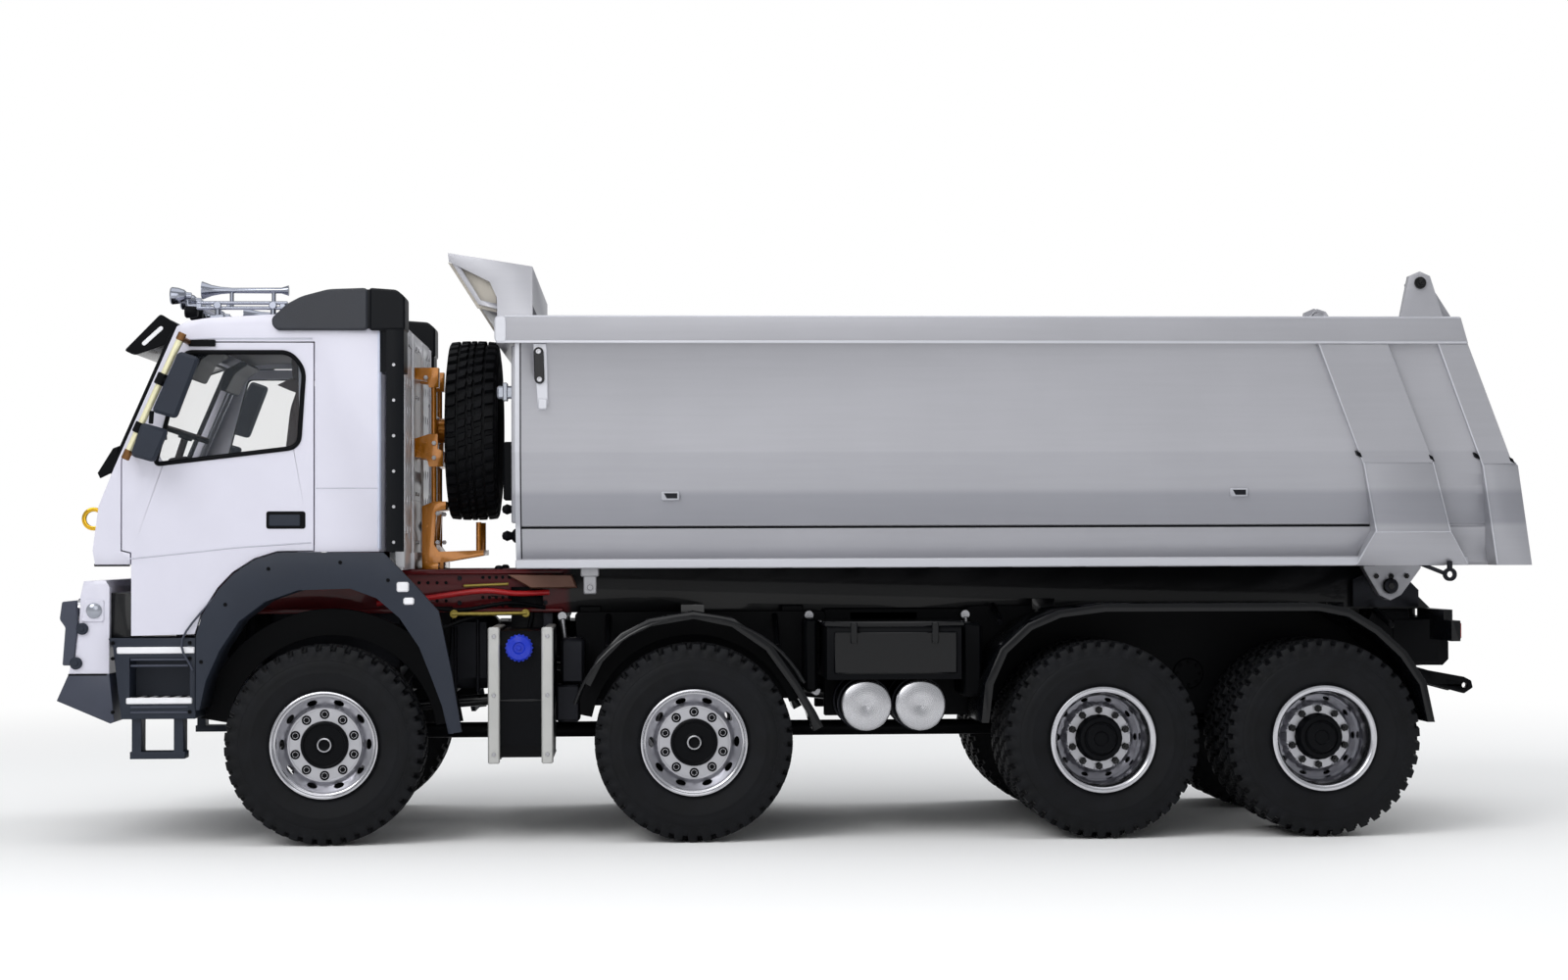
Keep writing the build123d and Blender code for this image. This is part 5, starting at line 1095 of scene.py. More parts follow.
def mirrors():
    """Rod with collars, clamps and brackets on each door, and the heads that replace the plain ones."""
    way = (MIRROR_LOW - MIRROR_TOP) / np.linalg.norm(MIRROR_LOW - MIRROR_TOP)

    def down(reach):
        """The point this far below the rod's upper end."""
        return MIRROR_TOP + way * reach

    def up(reach):
        """The point this far above the rod's lower end."""
        return MIRROR_LOW - way * reach

    pair("mirror_rod", rod(MIRROR_TOP, MIRROR_LOW, 1.45, 16), PALE_ROD, "door")
    collars = rods(
        (down(-0.8), down(2.6), 1.8),
        (up(2.8), up(-1.4), 1.8),
        (down(1.4), (259.6, 88.2, 212.6), 1.2),
        (up(1.4), (282.2, 88.2, 166.2), 1.2),
    )
    pair("mirror_collars", collars, COPPER, "door")
    clamps = rods(
        (down(18.0), down(23.0), 2.5),
        (down(40.5), down(45.0), 2.4),
        (down(20.5), (264.6, 100.6, 195.0), 1.4),
        (down(42.6), (275.0, 100.6, 173.6), 1.4),
    )
    clamps += block((248.4, 87.8, 210.8), (259.6, 89.2, 213.6), 0.3)
    clamps += rod((272.6, 100.8, 183.0), (273.0, 100.8, 177.6), 1.0)
    pair("mirror_clamps", clamps, BLACK, "door")
    shells = joined(plate(rounded(head, 2.2), 98.6, 103.0, 1.3) for head in MIRROR_HEADS)
    for word, side in SIDES.items():
        piece("mirror_heads_" + word, shells.on(side), SLATE, "door_" + word, hides=["mirrors_" + word])


def door_panels():
    """Armrest panel inside each door, below the window."""
    lining = rounded([(280.0, 158.0), (212.0, 164.0), (212.0, 128.0), (280.0, 128.0)], 3.0)
    panel = plate(lining, 84.7, 85.2, 0.2) + block((222.0, 82.4, 148.0), (262.0, 85.0, 152.0), 1.0)
    pair("door_panel", panel, INTERIOR, "door")


def slope_x(z):
    """The cab front's x at a height between the nose and the roof."""
    return NOSE_TOP[0] - (z - NOSE_TOP[1]) * (NOSE_TOP[0] - BROW[0]) / (BROW[1] - NOSE_TOP[1])


def screen(low, high, half, proud_low, proud_high, thick, rows=10, cols=25):
    """Curved pane: x is the slope's plus a bulge that fades as the square of y, and grows downward."""
    z = np.linspace(low, high, rows)[:, None]
    y = np.linspace(-1.0, 1.0, cols)[None]
    share = (z - low) / (high - low)
    bulge = proud_low * (1 - share) + proud_high * share
    edge = half - 3.0 * share
    x = slope_x(z) + 0.6 + bulge * (1 - y**2)
    outer = np.stack([x, edge * y, np.broadcast_to(z, x.shape)], -1)
    inner = outer - np.array([thick, 0.0, 0.0])
    n = rows * cols
    faces = grid_faces(rows, cols)
    j = np.arange(n).reshape(rows, cols)
    rim = np.concatenate([j[0, :-1], j[:-1, -1], j[-1, :0:-1], j[:0:-1, 0]])
    after = np.roll(rim, -1)
    walls = np.stack([rim, after, after + n, rim + n], 1)
    points = np.concatenate([outer.reshape(-1, 3), inner.reshape(-1, 3)])
    return Shape(points, np.concatenate([faces, faces[:, ::-1] + n, walls[:, ::-1]])).outward()


def windscreen():
    """Windscreen with its dark surround, and the wipers."""
    piece("screen", screen(161.5, 213.0, 78.0, 5.2, 2.2, 1.2), GLASS, hides=["windscreen"])
    strips = screen(156.6, 163.2, 79.5, 5.6, 5.4, 1.6, 4) + screen(211.4, 216.4, 75.0, 2.6, 2.2, 1.6, 4)
    foot = [(289.0, 169.0), (291.6, 168.0), (298.0, 157.6), (297.0, 155.4), (290.4, 158.6)]
    for side in SIDES.values():
        heights = np.linspace(157.0, 216.0, 9)
        inner = [(slope_x(z) + 0.9, side * (78.6 - 3.0 * (z - 160.0) / 55.0), z) for z in heights]
        rim = [(slope_x(z) + 0.9, side * 84.6, z) for z in (160.4, 180.0, 200.0, 217.4)]
        strips += tube(inner, 1.7, 10) + tube(rim, 1.35, 10) + plate(foot, 83.2, 86.0, 0.5).on(side)
    piece("screen_surround", strips, BLACK)
    arms = EMPTY
    for y0, y1 in WIPERS:
        path = [(297.0, y0, 158.0), (293.4, y0 + 8.0, 168.0), (286.8, 0.5 * (y0 + y1) + 6.0, 182.0)]
        arms += tube(smooth_path(path + [(283.4, y1, 188.0)], 6), 0.7, 8)
        arms += rod((289.6, y0 + 4.0, 176.4), (284.6, y1 - 2.0, 186.0), 0.6)
        arms += out_x(disc(1.8, 1.6), 296.6, y0, 157.4)
    piece("wipers", arms, BLACK)


def visor():
    """Black end plates of the smoked visor, with a pale slot in each."""
    ends = [(272.6, 225.2), (287.8, 209.6), (283.6, 207.6), (269.6, 212.4), (265.6, 218.8), (265.2, 220.6)]
    piece("visor_ends", plate(rounded(ends, 1.2, 3), 79.8, 81.6, 0.3).both(), BLACK)
    slot = capsule((272.4, 219.0), (279.4, 212.6), 0.9)
    piece("visor_slots", plate(slot, 81.4, 81.8, 0.1).both(), WHITE_METAL)


def nose():
    """Slats, panel seams and a small step on the cab's nose."""
    slats = EMPTY
    for z in (127.0, 131.5, 136.0, 140.5):
        lean = (150.0 - z) * 0.13
        slats += block((296.4 + lean, -56.0, z - 1.0), (298.9 + lean, 56.0, z + 1.0), 0.4)
    piece("nose_slats", slats, SLATE)
    seam = tube([(299.3, -60.0, 124.6), (299.3, 60.0, 124.6)], 0.3, 6)
    seam += tube([(297.3, -60.0, 145.2), (297.3, 60.0, 145.2)], 0.3, 6)
    seam += tube([(299.5, 60.0, 124.6), (297.3, 60.0, 145.2)], 0.3, 6).both()
    piece("nose_seams", seam, SEAM)
    piece("nose_notch", block((284.6, 84.0, 118.2), (299.0, 87.4, 119.4), 0.2).both(), BLACK)


def cab_sides():
    """Seams, drip strip, rear edge, deflector caps, roof hatch and back-panel details."""
    seams = tube([(206.6, DOOR_Y + SEAM_LIFT, 150.9), (180.2, DOOR_Y + SEAM_LIFT, 150.9)], 0.28, 6)
    drip = [(262.0, 213.6), (250.0, 214.2), (208.0, 214.2)]
    seams += tube([(x, DOOR_Y + 0.05, z) for x, z in drip], 0.35, 6)
    piece("cab_seams", seams.both(), SEAM)
    piece("cab_rear_edge", block((179.0, 84.6, 124.6), (181.0, DOOR_Y + 0.3, 218.0), 0.8).both(), CAB_EDGE)
    cap = [(224.4, 219.4), (224.8, 222.6), (218.6, 228.6), (212.2, 232.0), (201.0, 235.0), (184.4, 235.6)]
    cap += [(184.4, 217.6), (222.4, 217.6)]
    piece("deflector_caps", plate(rounded(cap, 2.2, 4), 71.4, 90.8, 0.9).both(), DEFLECTOR)
    back = [(183.8, 235.6), (172.4, 234.8), (168.8, 231.8), (168.8, 217.8), (183.8, 217.6)]
    piece("deflector_backs", plate(rounded(back, 1.2, 3), 71.4, 90.7, 0.9).both(), DEFLECTOR_BACK)
    hatch = plate(oblong(190.0, 232.0, -26.0, 26.0, 5.0), 223.0, 226.4, 1.0, axis="Z")
    piece("roof_hatch", hatch, CAB_PAINT)
    screw = cap_screw(0.9, 0.5).turned(turn("X", 180.0))
    screws = spread(out_x, screw, 171.5, (66.0, 6.0), (128.0, 150.0, 172.0, 194.0, 216.0))
    piece("rack_screws", screws.both(), STEEL)
    posts = joined(block((170.6, y - 1.4, 117.0), (175.0, y + 1.4, 221.0), 0.4) for y in (69.4, 24.0))
    piece("rack_posts", posts.both(), WHITE_METAL)


def roof_details():
    """Rails, cross bars, horns on posts and round lamps of the roof bar."""
    rails = joined(rod((220.8, BAR_END_Y, z), (259.6, BAR_END_Y, z), 0.8, 14) for z in (231.0, 228.8))
    rails += joined(rod((x, 69.6, BAR_Z), (x, -69.6, BAR_Z), 1.3, 16) for x in (258.6, 223.0))
    feet = EMPTY
    for x, low, high in zip(BAR_FOOT_XS, (247.6, 224.0), (253.8, 230.0)):
        feet += block((low, 66.8, 224.0), (high, 71.2, 225.8), 0.4)
        feet += rod((x, BAR_END_Y, 225.0), (x, BAR_END_Y, 231.6), 1.2)
        feet += out_y(disc(1.7, 0.8), x, 70.0, BAR_Z)
    piece("bar_rails", rails + feet.both(), GREY_CHROME, hides=["roof_bar"])
    bell = [(0, 0.0), (2.3, 0.0), (1.3, 3.0), (1.2, 24.0), (1.6, 29.0), (2.4, 33.0), (3.8, 36.6)]
    mouth = [(3.9, 37.1), (3.3, 36.9), (1.6, 32.0), (0, 30.0)]
    horns = out_x(lathe(bell + mouth, 28), 221.6, HORN_Y, 237.2)
    horns += joined(
        rod((x, HORN_Y, 230.0), (x, HORN_Y, 236.6), 0.9) + rod((x, 58.0, 230.0), (x, BAR_END_Y, 230.0), 0.9)
        for x in HORN_POST_XS
    )
    piece("horns", horns.both(), GREY_CHROME)
    bowl = [(0, 0.0), (1.4, 0.0), (1.6, 2.0), (2.6, 3.0), (3.5, 5.6), (3.8, 8.2), (3.4, 8.8), (3.0, 7.6)]
    lens = lathe([(0, 7.1), (3.0, 7.1), (2.8, 8.2), (1.6, 8.8), (0, 9.0)], 32)
    lamps_on_bar = spread(out_x, lathe(bowl + [(0, 7.2)], 32), BAR_LAMP_X, BAR_LAMP_YS, BAR_LAMP_Z)
    lamps_on_bar += joined(
        rod((264.0, y, 230.0), (264.0, y, 232.4), 0.9) + rod((258.6, y, BAR_Z), (264.4, y, 230.2), 0.9)
        for y in BAR_LAMP_YS
    )
    piece("bar_lamps", lamps_on_bar.both(), GREY_CHROME)
    piece("bar_lamp_glass", spread(out_x, lens, BAR_LAMP_X, BAR_LAMP_YS, BAR_LAMP_Z).both(), LAMP_GREY)
    small = lathe([(0, 0.0), (2.0, 0.4), (2.6, 2.0), (2.6, 5.2), (2.0, 5.8), (0, 5.4)], 24)
    piece("bar_markers", spread(out_x, small, 259.4, (65.0, 52.0), 227.4).both(), BLACK)


door_details()
mirrors()
door_panels()
windscreen()
visor()
nose()
cab_sides()
roof_details()


RAIL_FACE_Y = 31.0
FRONT_X, SECOND_X, THIRD_X, FOURTH_X = AXLES.values()
TANK_STRAPS = [(129.8, 133.8), (107.2, 111.0)]
AIR_TANK_XS = {"front": -27.0, "rear": -50.5}
AIR_TANK_Y, AIR_TANK_Z = 80.2, 57.4
HANGER_XS = (158.0, 248.0, 2.0, 92.0)
MEMBER_XS = (150.0, 20.0, -40.0, -92.0, -176.0, -250.0)
GUSSET_XS = (150.0, 20.0, -92.0, -176.0)
DAMPER_XS = (103.6, -6.0, -76.0)
DAMPER_Y = 37.0
TANK_FACE_Y = 84.0
COUPLING_X = -296.4
TAIL_X = -286.0
TANDEM_X = 0.5 * (THIRD_X + FOURTH_X)


def arc_plate(x, inner, outer, start, end, near, far, steps=28):
    """Sector of a flat ring about a wheel's axis, from one angle to another in degrees, between two y."""
    t = np.radians(np.linspace(start, end, steps))
    rim = np.stack([x + outer * np.cos(t), TYRE_R + outer * np.sin(t)], 1)
    inside = np.stack([x + inner * np.cos(t), TYRE_R + inner * np.sin(t)], 1)[::-1]
    return plate(np.concatenate([rim, inside]), near, far, 0.2)


def hoop(x0, x1, y0, y1, z0, z1, thick):
    """Strap of this thickness round a box, open towards the frame."""
    return blocks(
        ((x0, y1, z0 - thick), (x1, y1 + thick, z1 + thick), 0.4),
        ((x0, y0, z1), (x1, y1 + 0.2, z1 + thick), 0.4),
        ((x0, y0, z0 - thick), (x1, y1 + 0.2, z0), 0.4),
    )


def flange(x, z, radius, width, y=0.0, bolts=8):
    """Bolted round joint on a shaft that runs along X."""
    ring = out_x(disc(radius, width, 32, 0.5), x, y, z)
    ring += out_x(ring_of(nut(radius * 0.14, width * 0.5, 0.4), bolts, radius * 0.76), x + width, y, z)
    return ring


def gear_cases():
    """Ribbed gearbox and transfer case between the rails, with the side cover's bolts."""
    box = blocks(
        ((134.0, -17.0, 62.0), (178.0, 17.0, 97.0), 5.0),
        ((120.0, -12.0, 66.0), (136.0, 12.0, 92.0), 3.5),
    )
    box += joined(block((x, -18.0, 60.6), (x + 1.6, 18.0, 98.0), 0.5) for x in (142.0, 152.0, 162.0, 172.0))
    box += blocks(
        ((62.0, -20.0, 54.0), (98.0, 20.0, 96.0), 6.0),
        ((56.0, -13.0, 60.0), (104.0, 13.0, 80.0), 4.0),
    )
    box += joined(block((x, -21.0, 52.6), (x + 1.6, 21.0, 95.0), 0.5) for x in (68.0, 80.0, 91.0))
    box += out_y(disc(9.0, 2.4, 28) + ring_of(nut(1.0, 3.2, 0.4), 8, 7.2), 80.0, 20.6, 72.0)
    piece("gearbox", box, DARK_METAL)


def shafts():
    """Drive shafts from the gearbox to the axles, with their bolted joints."""
    bars = rods(
        ((121.0, 0.0, 74.0), (103.0, 0.0, 72.0), 3.2, 18),
        ((57.0, 0.0, 66.0), (-106.0, 0.0, 50.0), 3.4, 18),
        ((-146.0, 0.0, 47.0), (-204.0, 0.0, 47.0), 3.2, 18),
        ((178.0, 12.0, 54.0), (100.0, 12.0, 60.0), 2.6, 18),
    )
    # x, z, radius, width
    joints = [(116.0, 73.5, 5.6, 3.0), (52.0, 65.4, 5.8, 3.4), (-106.0, 50.2, 5.8, 3.4)]
    joints += [(-152.0, 47.0, 5.6, 3.4), (-204.0, 47.0, 5.6, 3.0)]
    piece("shafts", bars + joined(flange(*row) for row in joints), BLACK_GLOSS)


def frame_members():
    """Cross members of the frame, hangers on which the springs end, and the dampers."""
    members = joined(block((x - 3.0, -24.2, 99.0), (x + 3.0, 24.2, 113.0), 1.0) for x in MEMBER_XS)
    members += joined(
        block((x - 6.0, y, 97.6), (x + 6.0, y + 1.4, 114.4), 0.4)
        for x in GUSSET_XS for y in (22.6, -24.0)
    )
    piece("cross_members", members, BLACK)
    hanger = [(-5.0, 99.5), (5.0, 99.5), (4.0, 78.0), (1.8, 72.4), (-1.8, 72.4), (-4.0, 78.0)]
    hangers = joined(
        plate([(x + a, b) for a, b in hanger], 30.8, 33.6, 0.5) + out_y(disc(2.6, 1.2), x, 33.4, 76.0)
        for x in HANGER_XS
    )
    piece("spring_hangers", hangers.both(), BLACK)
    bolt_xs = [x + dx for x in HANGER_XS + (128.0, -70.0) for dx in (-3.0, 3.0)]
    piece("hanger_bolts", spread(out_y, nut(0.9, 0.9, 0.4), bolt_xs, 30.8, (96.6, 91.0)).both(), DARK_METAL)
    damper = EMPTY
    for x in DAMPER_XS:
        damper += rod((x + 0.6, DAMPER_Y, 94.0), (x - 0.8, DAMPER_Y, 80.0), 1.3)
        damper += rod((x - 0.6, DAMPER_Y, 82.0), (x - 2.2, DAMPER_Y, 62.0), 2.0, 18)
        damper += out_y(disc(2.2, 1.6), x + 0.7, 35.8, 95.0) + out_y(disc(2.2, 1.6), x - 2.3, 35.8, 61.4)
    piece("dampers", damper.both(), STEEL)


def wheel_houses():
    """Inner skirts of the mudguards, ribs along their tops and the stays that carry them."""
    skirts = arc_plate(FRONT_X, 45.2, 57.0, 10.0, 172.0, 57.6, 59.6)
    skirts += arc_plate(SECOND_X, 44.8, 52.4, 12.0, 160.0, 59.4, 60.6)
    tandem = [(-272.0, 60.0), (-262.0, 86.0), (-246.0, 99.0), (-74.0, 99.0), (-73.0, 60.0), (-118.0, 50.0)]
    skirts += plate(rounded(tandem + [(-234.0, 50.0)], 6.0), 34.4, 35.8, 0.3)
    second = [(99.0, 97.0), (-13.0, 97.0), (-11.0, 70.0), (2.0, 58.0), (90.0, 58.0), (97.0, 70.0)]
    skirts += plate(rounded(second, 3.0), 34.2, 35.6, 0.3)
    piece("wheel_skirts", skirts.both(), BLACK)
    angles = np.radians(np.linspace(18.0, 152.0, 24))
    # radius about the axle, y, thickness
    edges = joined(
        tube([(SECOND_X + r * math.cos(a), y, TYRE_R + r * math.sin(a)) for a in angles], thick, 8)
        for r, y, thick in ((53.3, 87.6, 0.75), (52.6, 74.0, 0.6))
    )
    piece("mudguard_beads", edges.both(), BLACK_GLOSS)
    stays = rods(
        ((-88.0, 34.0, 99.0), (-88.0, 60.0, 92.0), 1.4),
        ((-262.0, 34.0, 96.0), (-262.0, 60.0, 90.0), 1.4),
        ((84.0, 33.0, 96.0), (84.0, 62.0, 82.0), 1.3),
        ((10.0, 33.0, 96.0), (10.0, 62.0, 82.0), 1.3),
    )
    piece("mudguard_stays", stays.both(), BLACK)


def fuel_tank():
    """Straps, bolts, blue cap, seam and pipe of the fuel tank on the left."""
    straps = joined(hoop(x0, x1, RAIL_FACE_Y, TANK_FACE_Y, 36.0, 90.0, 1.5) for x0, x1 in TANK_STRAPS)
    straps += joined(block((x, 84.8, 34.0), (x + 5.0, 87.2, 91.8), 0.6) for x in (129.3, 106.7))
    piece("tank_straps", straps, STRAP)
    bolts = spread(out_y, cap_screw(0.9, 0.8), (131.8, 109.2), 87.0, (38.0, 63.0, 88.0))
    piece("tank_bolts", bolts, STEEL)
    cap = lathe(
        [(0, 0.0), (5.3, 0.0), (5.5, 0.6), (5.5, 3.2), (4.9, 3.9), (2.6, 4.1), (2.2, 3.6), (0, 3.6)], 40
    )
    cap += ring_of(block((-0.5, -0.4, 0.5), (0.4, 0.4, 3.2), 0.15), 20, 5.5) + disc(1.2, 4.3, 6)
    piece("tank_cap", out_y(cap, 121.1, 84.4, 83.0), BLUE)
    piece("tank_seam", block((108.0, 83.6, 60.2), (133.0, 84.5, 61.2), 0.2), BLACK_GLOSS)
    pipe = smooth_path(
        [(119.0, 34.0, 90.0), (118.0, 33.0, 97.0), (122.0, 30.0, 103.0), (136.0, 30.0, 104.0)], 6
    )
    piece("tank_pipe", tube(pipe, 1.1, 10), BLACK)


def air_tanks():
    """Turned ends and hoops of the air tanks on both sides."""
    end = [
        (0, 0.7), (0.9, 0.7), (1.6, 0.95), (9.6, 0.95), (10.4, 0.6), (10.9, 0.0), (10.9, -1.0), (0, -1.0)
    ]
    for name, x in AIR_TANK_XS.items():
        face = out_y(lathe(end, 64), x, AIR_TANK_Y, AIR_TANK_Z)
        for word, side in SIDES.items():
            piece(f"air_tank_{name}_{word}", face.on(side), TANK_END, axis_at=(x, AIR_TANK_Z))
    ring = lathe_ring([(11.7, -1.2), (11.7, 1.2), (10.9, 1.2), (10.9, -1.2)], 48)
    hoops = spread(out_y, ring, list(AIR_TANK_XS.values()), (44.0, 70.0), AIR_TANK_Z)
    piece("air_tank_hoops", hoops.both(), DARK_METAL)


def side_boxes():
    """Lids and carriers of the side boxes, the valve box, and on the right the battery box."""
    lids = blocks(
        ((-69.4, 32.4, 91.0), (-8.6, 84.4, 93.4), 0.7),
        ((-66.0, 82.6, 71.0), (-13.0, 84.0, 89.0), 0.6),
        ((-58.0, 83.6, 84.0), (-55.0, 85.2, 93.0), 0.4),
        ((-23.0, 83.6, 84.0), (-20.0, 85.2, 93.0), 0.4),
    )
    piece("box_lids", lids.both(), BLACK_GLOSS)
    carrier = blocks(
        ((-77.0, RAIL_FACE_Y, 50.0), (-12.0, 33.0, 98.0), 0.6),
        ((-79.0, 33.0, 60.0), (-70.6, 66.0, 92.0), 1.2),
        ((-7.6, 33.0, 62.0), (-2.0, 58.0, 94.0), 1.2),
    )
    piece("unit_carriers", carrier.both(), BLACK)
    fins = joined(block((-76.5, y, 61.0), (-71.0, y + 1.4, 91.0), 0.3) for y in (40.0, 48.0, 56.0))
    piece("carrier_fins", fins.both(), DARK_METAL)
    valve = blocks(
        ((96.0, 46.0, 50.0), (106.4, 62.0, 66.0), 1.0),
        ((94.0, 40.0, 66.0), (104.6, 58.0, 86.0), 1.4),
    )
    piece("valve_box", valve, DARK_METAL)
    battery = blocks(
        ((99.6, -84.0, 44.0), (138.0, -34.0, 86.0), 1.4),
        ((98.6, -85.2, 84.0), (139.2, -33.0, 91.0), 1.6),
    )
    battery += joined(
        block((x, -85.4, 46.0), (x + 2.0, -83.0, 84.0), 0.6) for x in np.arange(102.0, 135.0, 8.0)
    )
    piece("battery_box", battery, BLACK)


def frame_holes():
    """Holes, bolts and flanges of the red frame behind the cab."""
    hole = disc(0.75, 0.25, 12, 0.05)
    row_xs = [139.7 - 2.93 * i for i in range(5)]
    dots = spread(out_y, hole, row_xs, RAIL_FACE_Y, (112.3, 103.4, 99.7))
    dots += spread(out_y, hole, (168.0, 164.0, 160.0, 156.0), RAIL_FACE_Y, (110.0, 102.0))
    piece("frame_holes", dots.both(), BLACK)
    heads = spread(out_y, cap_screw(1.0, 0.9), (182.0, 150.0, 112.0), RAIL_FACE_Y, (112.0, 101.0))
    button = lathe([(0, -0.3), (1.9, -0.3), (1.9, 0.7), (1.2, 1.5), (0, 1.7)], 14)
    heads += joined(button.at(x, 28.0, 116.0) for x in (132.8, 161.0))
    piece("frame_bolts", heads.both(), DARK_METAL)
    flanges = joined(block((104.0, 30.6, z), (276.0, 34.6, z + 1.8), 0.4) for z in (113.8, 96.9))
    piece("frame_flanges", flanges.both(), FRAME_PAINT)


def frame_hoses():
    """Hoses and rods that run along the left rail, wedge brackets and tabs beside it."""
    red = [(186.0, 36.0, 101.0), (165.0, 37.5, 103.2), (140.0, 38.6, 106.4), (124.0, 38.0, 105.2)]
    piece("red_hose", tube(smooth_path(red + [(110.0, 37.0, 105.7)]), 1.25, 12), RED_SLEEVE)
    dark = [(190.0, 40.0, 107.0), (170.0, 42.0, 101.0), (150.0, 41.0, 98.0), (128.0, 40.0, 101.0)]
    hoses = tube(smooth_path(dark + [(112.0, 36.0, 99.0)]), 1.0, 10)
    low = [(180.0, 44.0, 92.0), (160.0, 46.0, 90.0), (146.0, 44.0, 94.0), (136.0, 40.0, 96.0)]
    piece("dark_hoses", hoses + tube(smooth_path(low), 0.9, 10), BLACK)
    bars = rod((152.6, 44.0, 96.4), (119.6, 44.0, 96.6), 0.85)
    bars += rod((148.0, 36.0, 108.6), (128.0, 36.0, 109.4), 0.7)
    bars += out_y(disc(1.9, 1.4), 120.2, 43.2, 96.6) + out_y(disc(1.9, 1.4), 151.6, 43.2, 96.4)
    piece("yellow_rods", bars, OLIVE_ROD)
    wedge = [(128.4, 113.6), (100.0, 113.6), (97.6, 107.6), (118.0, 107.4)]
    piece("wedge_brackets", plate(wedge, 30.8, 42.0, 0.6).both(), RUST_BROWN)
    tabs = blocks(
        ((167.2, 86.6, 107.0), (172.4, 90.6, 111.2), 0.6),
        ((165.0, 86.6, 101.6), (169.6, 90.6, 104.6), 0.6),
    )
    piece("arch_tabs", tabs.both(), WHITE_METAL)


def tail_lamps():
    """Lenses and rings of the tail lamps."""
    lenses = ((50.8, 63.6), (68.4, 81.2))
    glow = joined(block((TAIL_X - 0.7, y0, 84.6), (TAIL_X + 0.3, y1, 91.6), 0.4) for y0, y1 in lenses)
    piece("tail_lenses", glow.both(), LAMP_RED)
    ring = disc(2.0, 0.8, 20).turned(turn("X", 180.0))
    piece("tail_rings", spread(out_x, ring, TAIL_X, (54.0, 60.0, 72.0, 78.0), 88.0).both(), STEEL)
    piece("tail_amber", block((TAIL_X - 0.7, 64.4, 84.6), (TAIL_X + 0.3, 67.6, 91.6), 0.3).both(), AMBER)


def rear_frame():
    """Coupling funnel and bolts, the rear cross beam, brake pots and the tandem's pivots."""
    jaw = lathe([(0, -0.3), (7.6, -0.3), (7.6, 0.3), (6.8, 0.6), (4.4, 0.5), (2.2, 0.1), (0, 0.1)], 40)
    piece("tow_jaw", jaw.turned(turn("Y", -90.0)).at(COUPLING_X, 0.0, 81.5), DARK_METAL)
    bolt = nut(1.1, 1.0, 0.4).turned(turn("X", 180.0))
    piece("coupling_bolts", spread(out_x, bolt, COUPLING_X, (12.0, 24.0), (75.0, 88.0)).both(), STEEL)
    rear = blocks(
        ((-293.0, -31.4, 71.4), (-270.0, 31.4, 92.6), 1.2),
        ((-284.0, -24.0, 90.0), (-258.0, 24.0, 100.0), 2.0),
    )
    piece("rear_beam", rear, BLACK)
    pot = [(0, 0.0), (4.6, 0.0), (5.0, 1.2), (5.0, 6.0), (5.8, 6.6), (5.8, 7.6), (5.0, 8.2), (5.0, 13.0)]
    pot = lathe(pot + [(4.0, 14.0), (0, 14.0)], 32)
    pots = EMPTY
    for x, reach in ((THIRD_X, 30.0), (FOURTH_X, 26.0)):
        pots += out_x(pot, x + 9.0, 24.0, 52.0)
        pots += rod((x + 2.0, 0.0, 60.0), (x + reach, 12.0, 92.0), 1.9, 16)
    piece("brake_pots", pots.both(), BLACK)
    beam = block((TANDEM_X - 5.0, 26.0, 62.0), (TANDEM_X + 5.0, 34.0, 97.0), 1.6)
    beam += out_y(disc(7.0, 3.0, 32, 0.6), TANDEM_X, 33.6, 68.0)
    beam += out_y(ring_of(nut(0.9, 0.9, 0.4), 8, 5.2), TANDEM_X, 36.4, 68.0)
    piece("tandem_pivots", beam.both(), BLACK)


gear_cases()
shafts()
frame_members()
wheel_houses()
fuel_tank()
air_tanks()
side_boxes()
frame_holes()
frame_hoses()
tail_lamps()
rear_frame()


HEADLAMP_YS = (61.0, 74.5)
HEADLAMP_X, HEADLAMP_Z = 307.2, 99.5
GUARD_POST_YS = (-44.0, -22.0, 0.0, 22.0, 44.0)
FOG_Y, FOG_Z = 60.0, 66.0
BUMPER_SIDE_Y = 84.8
GUARD_BAR_ZS = np.arange(66.0, 102.0, 7.0)
KNOBS = [(2.5, 304.2, 92.0), (2.6, 306.8, 77.5)]
ARCH_FACE_Y = 89.9
SEAT_Y = 46.0
WHEEL_CENTRE = (267.9, 46.0, 175.2)
SPARE_X, SPARE_Z = 145.0, 179.0


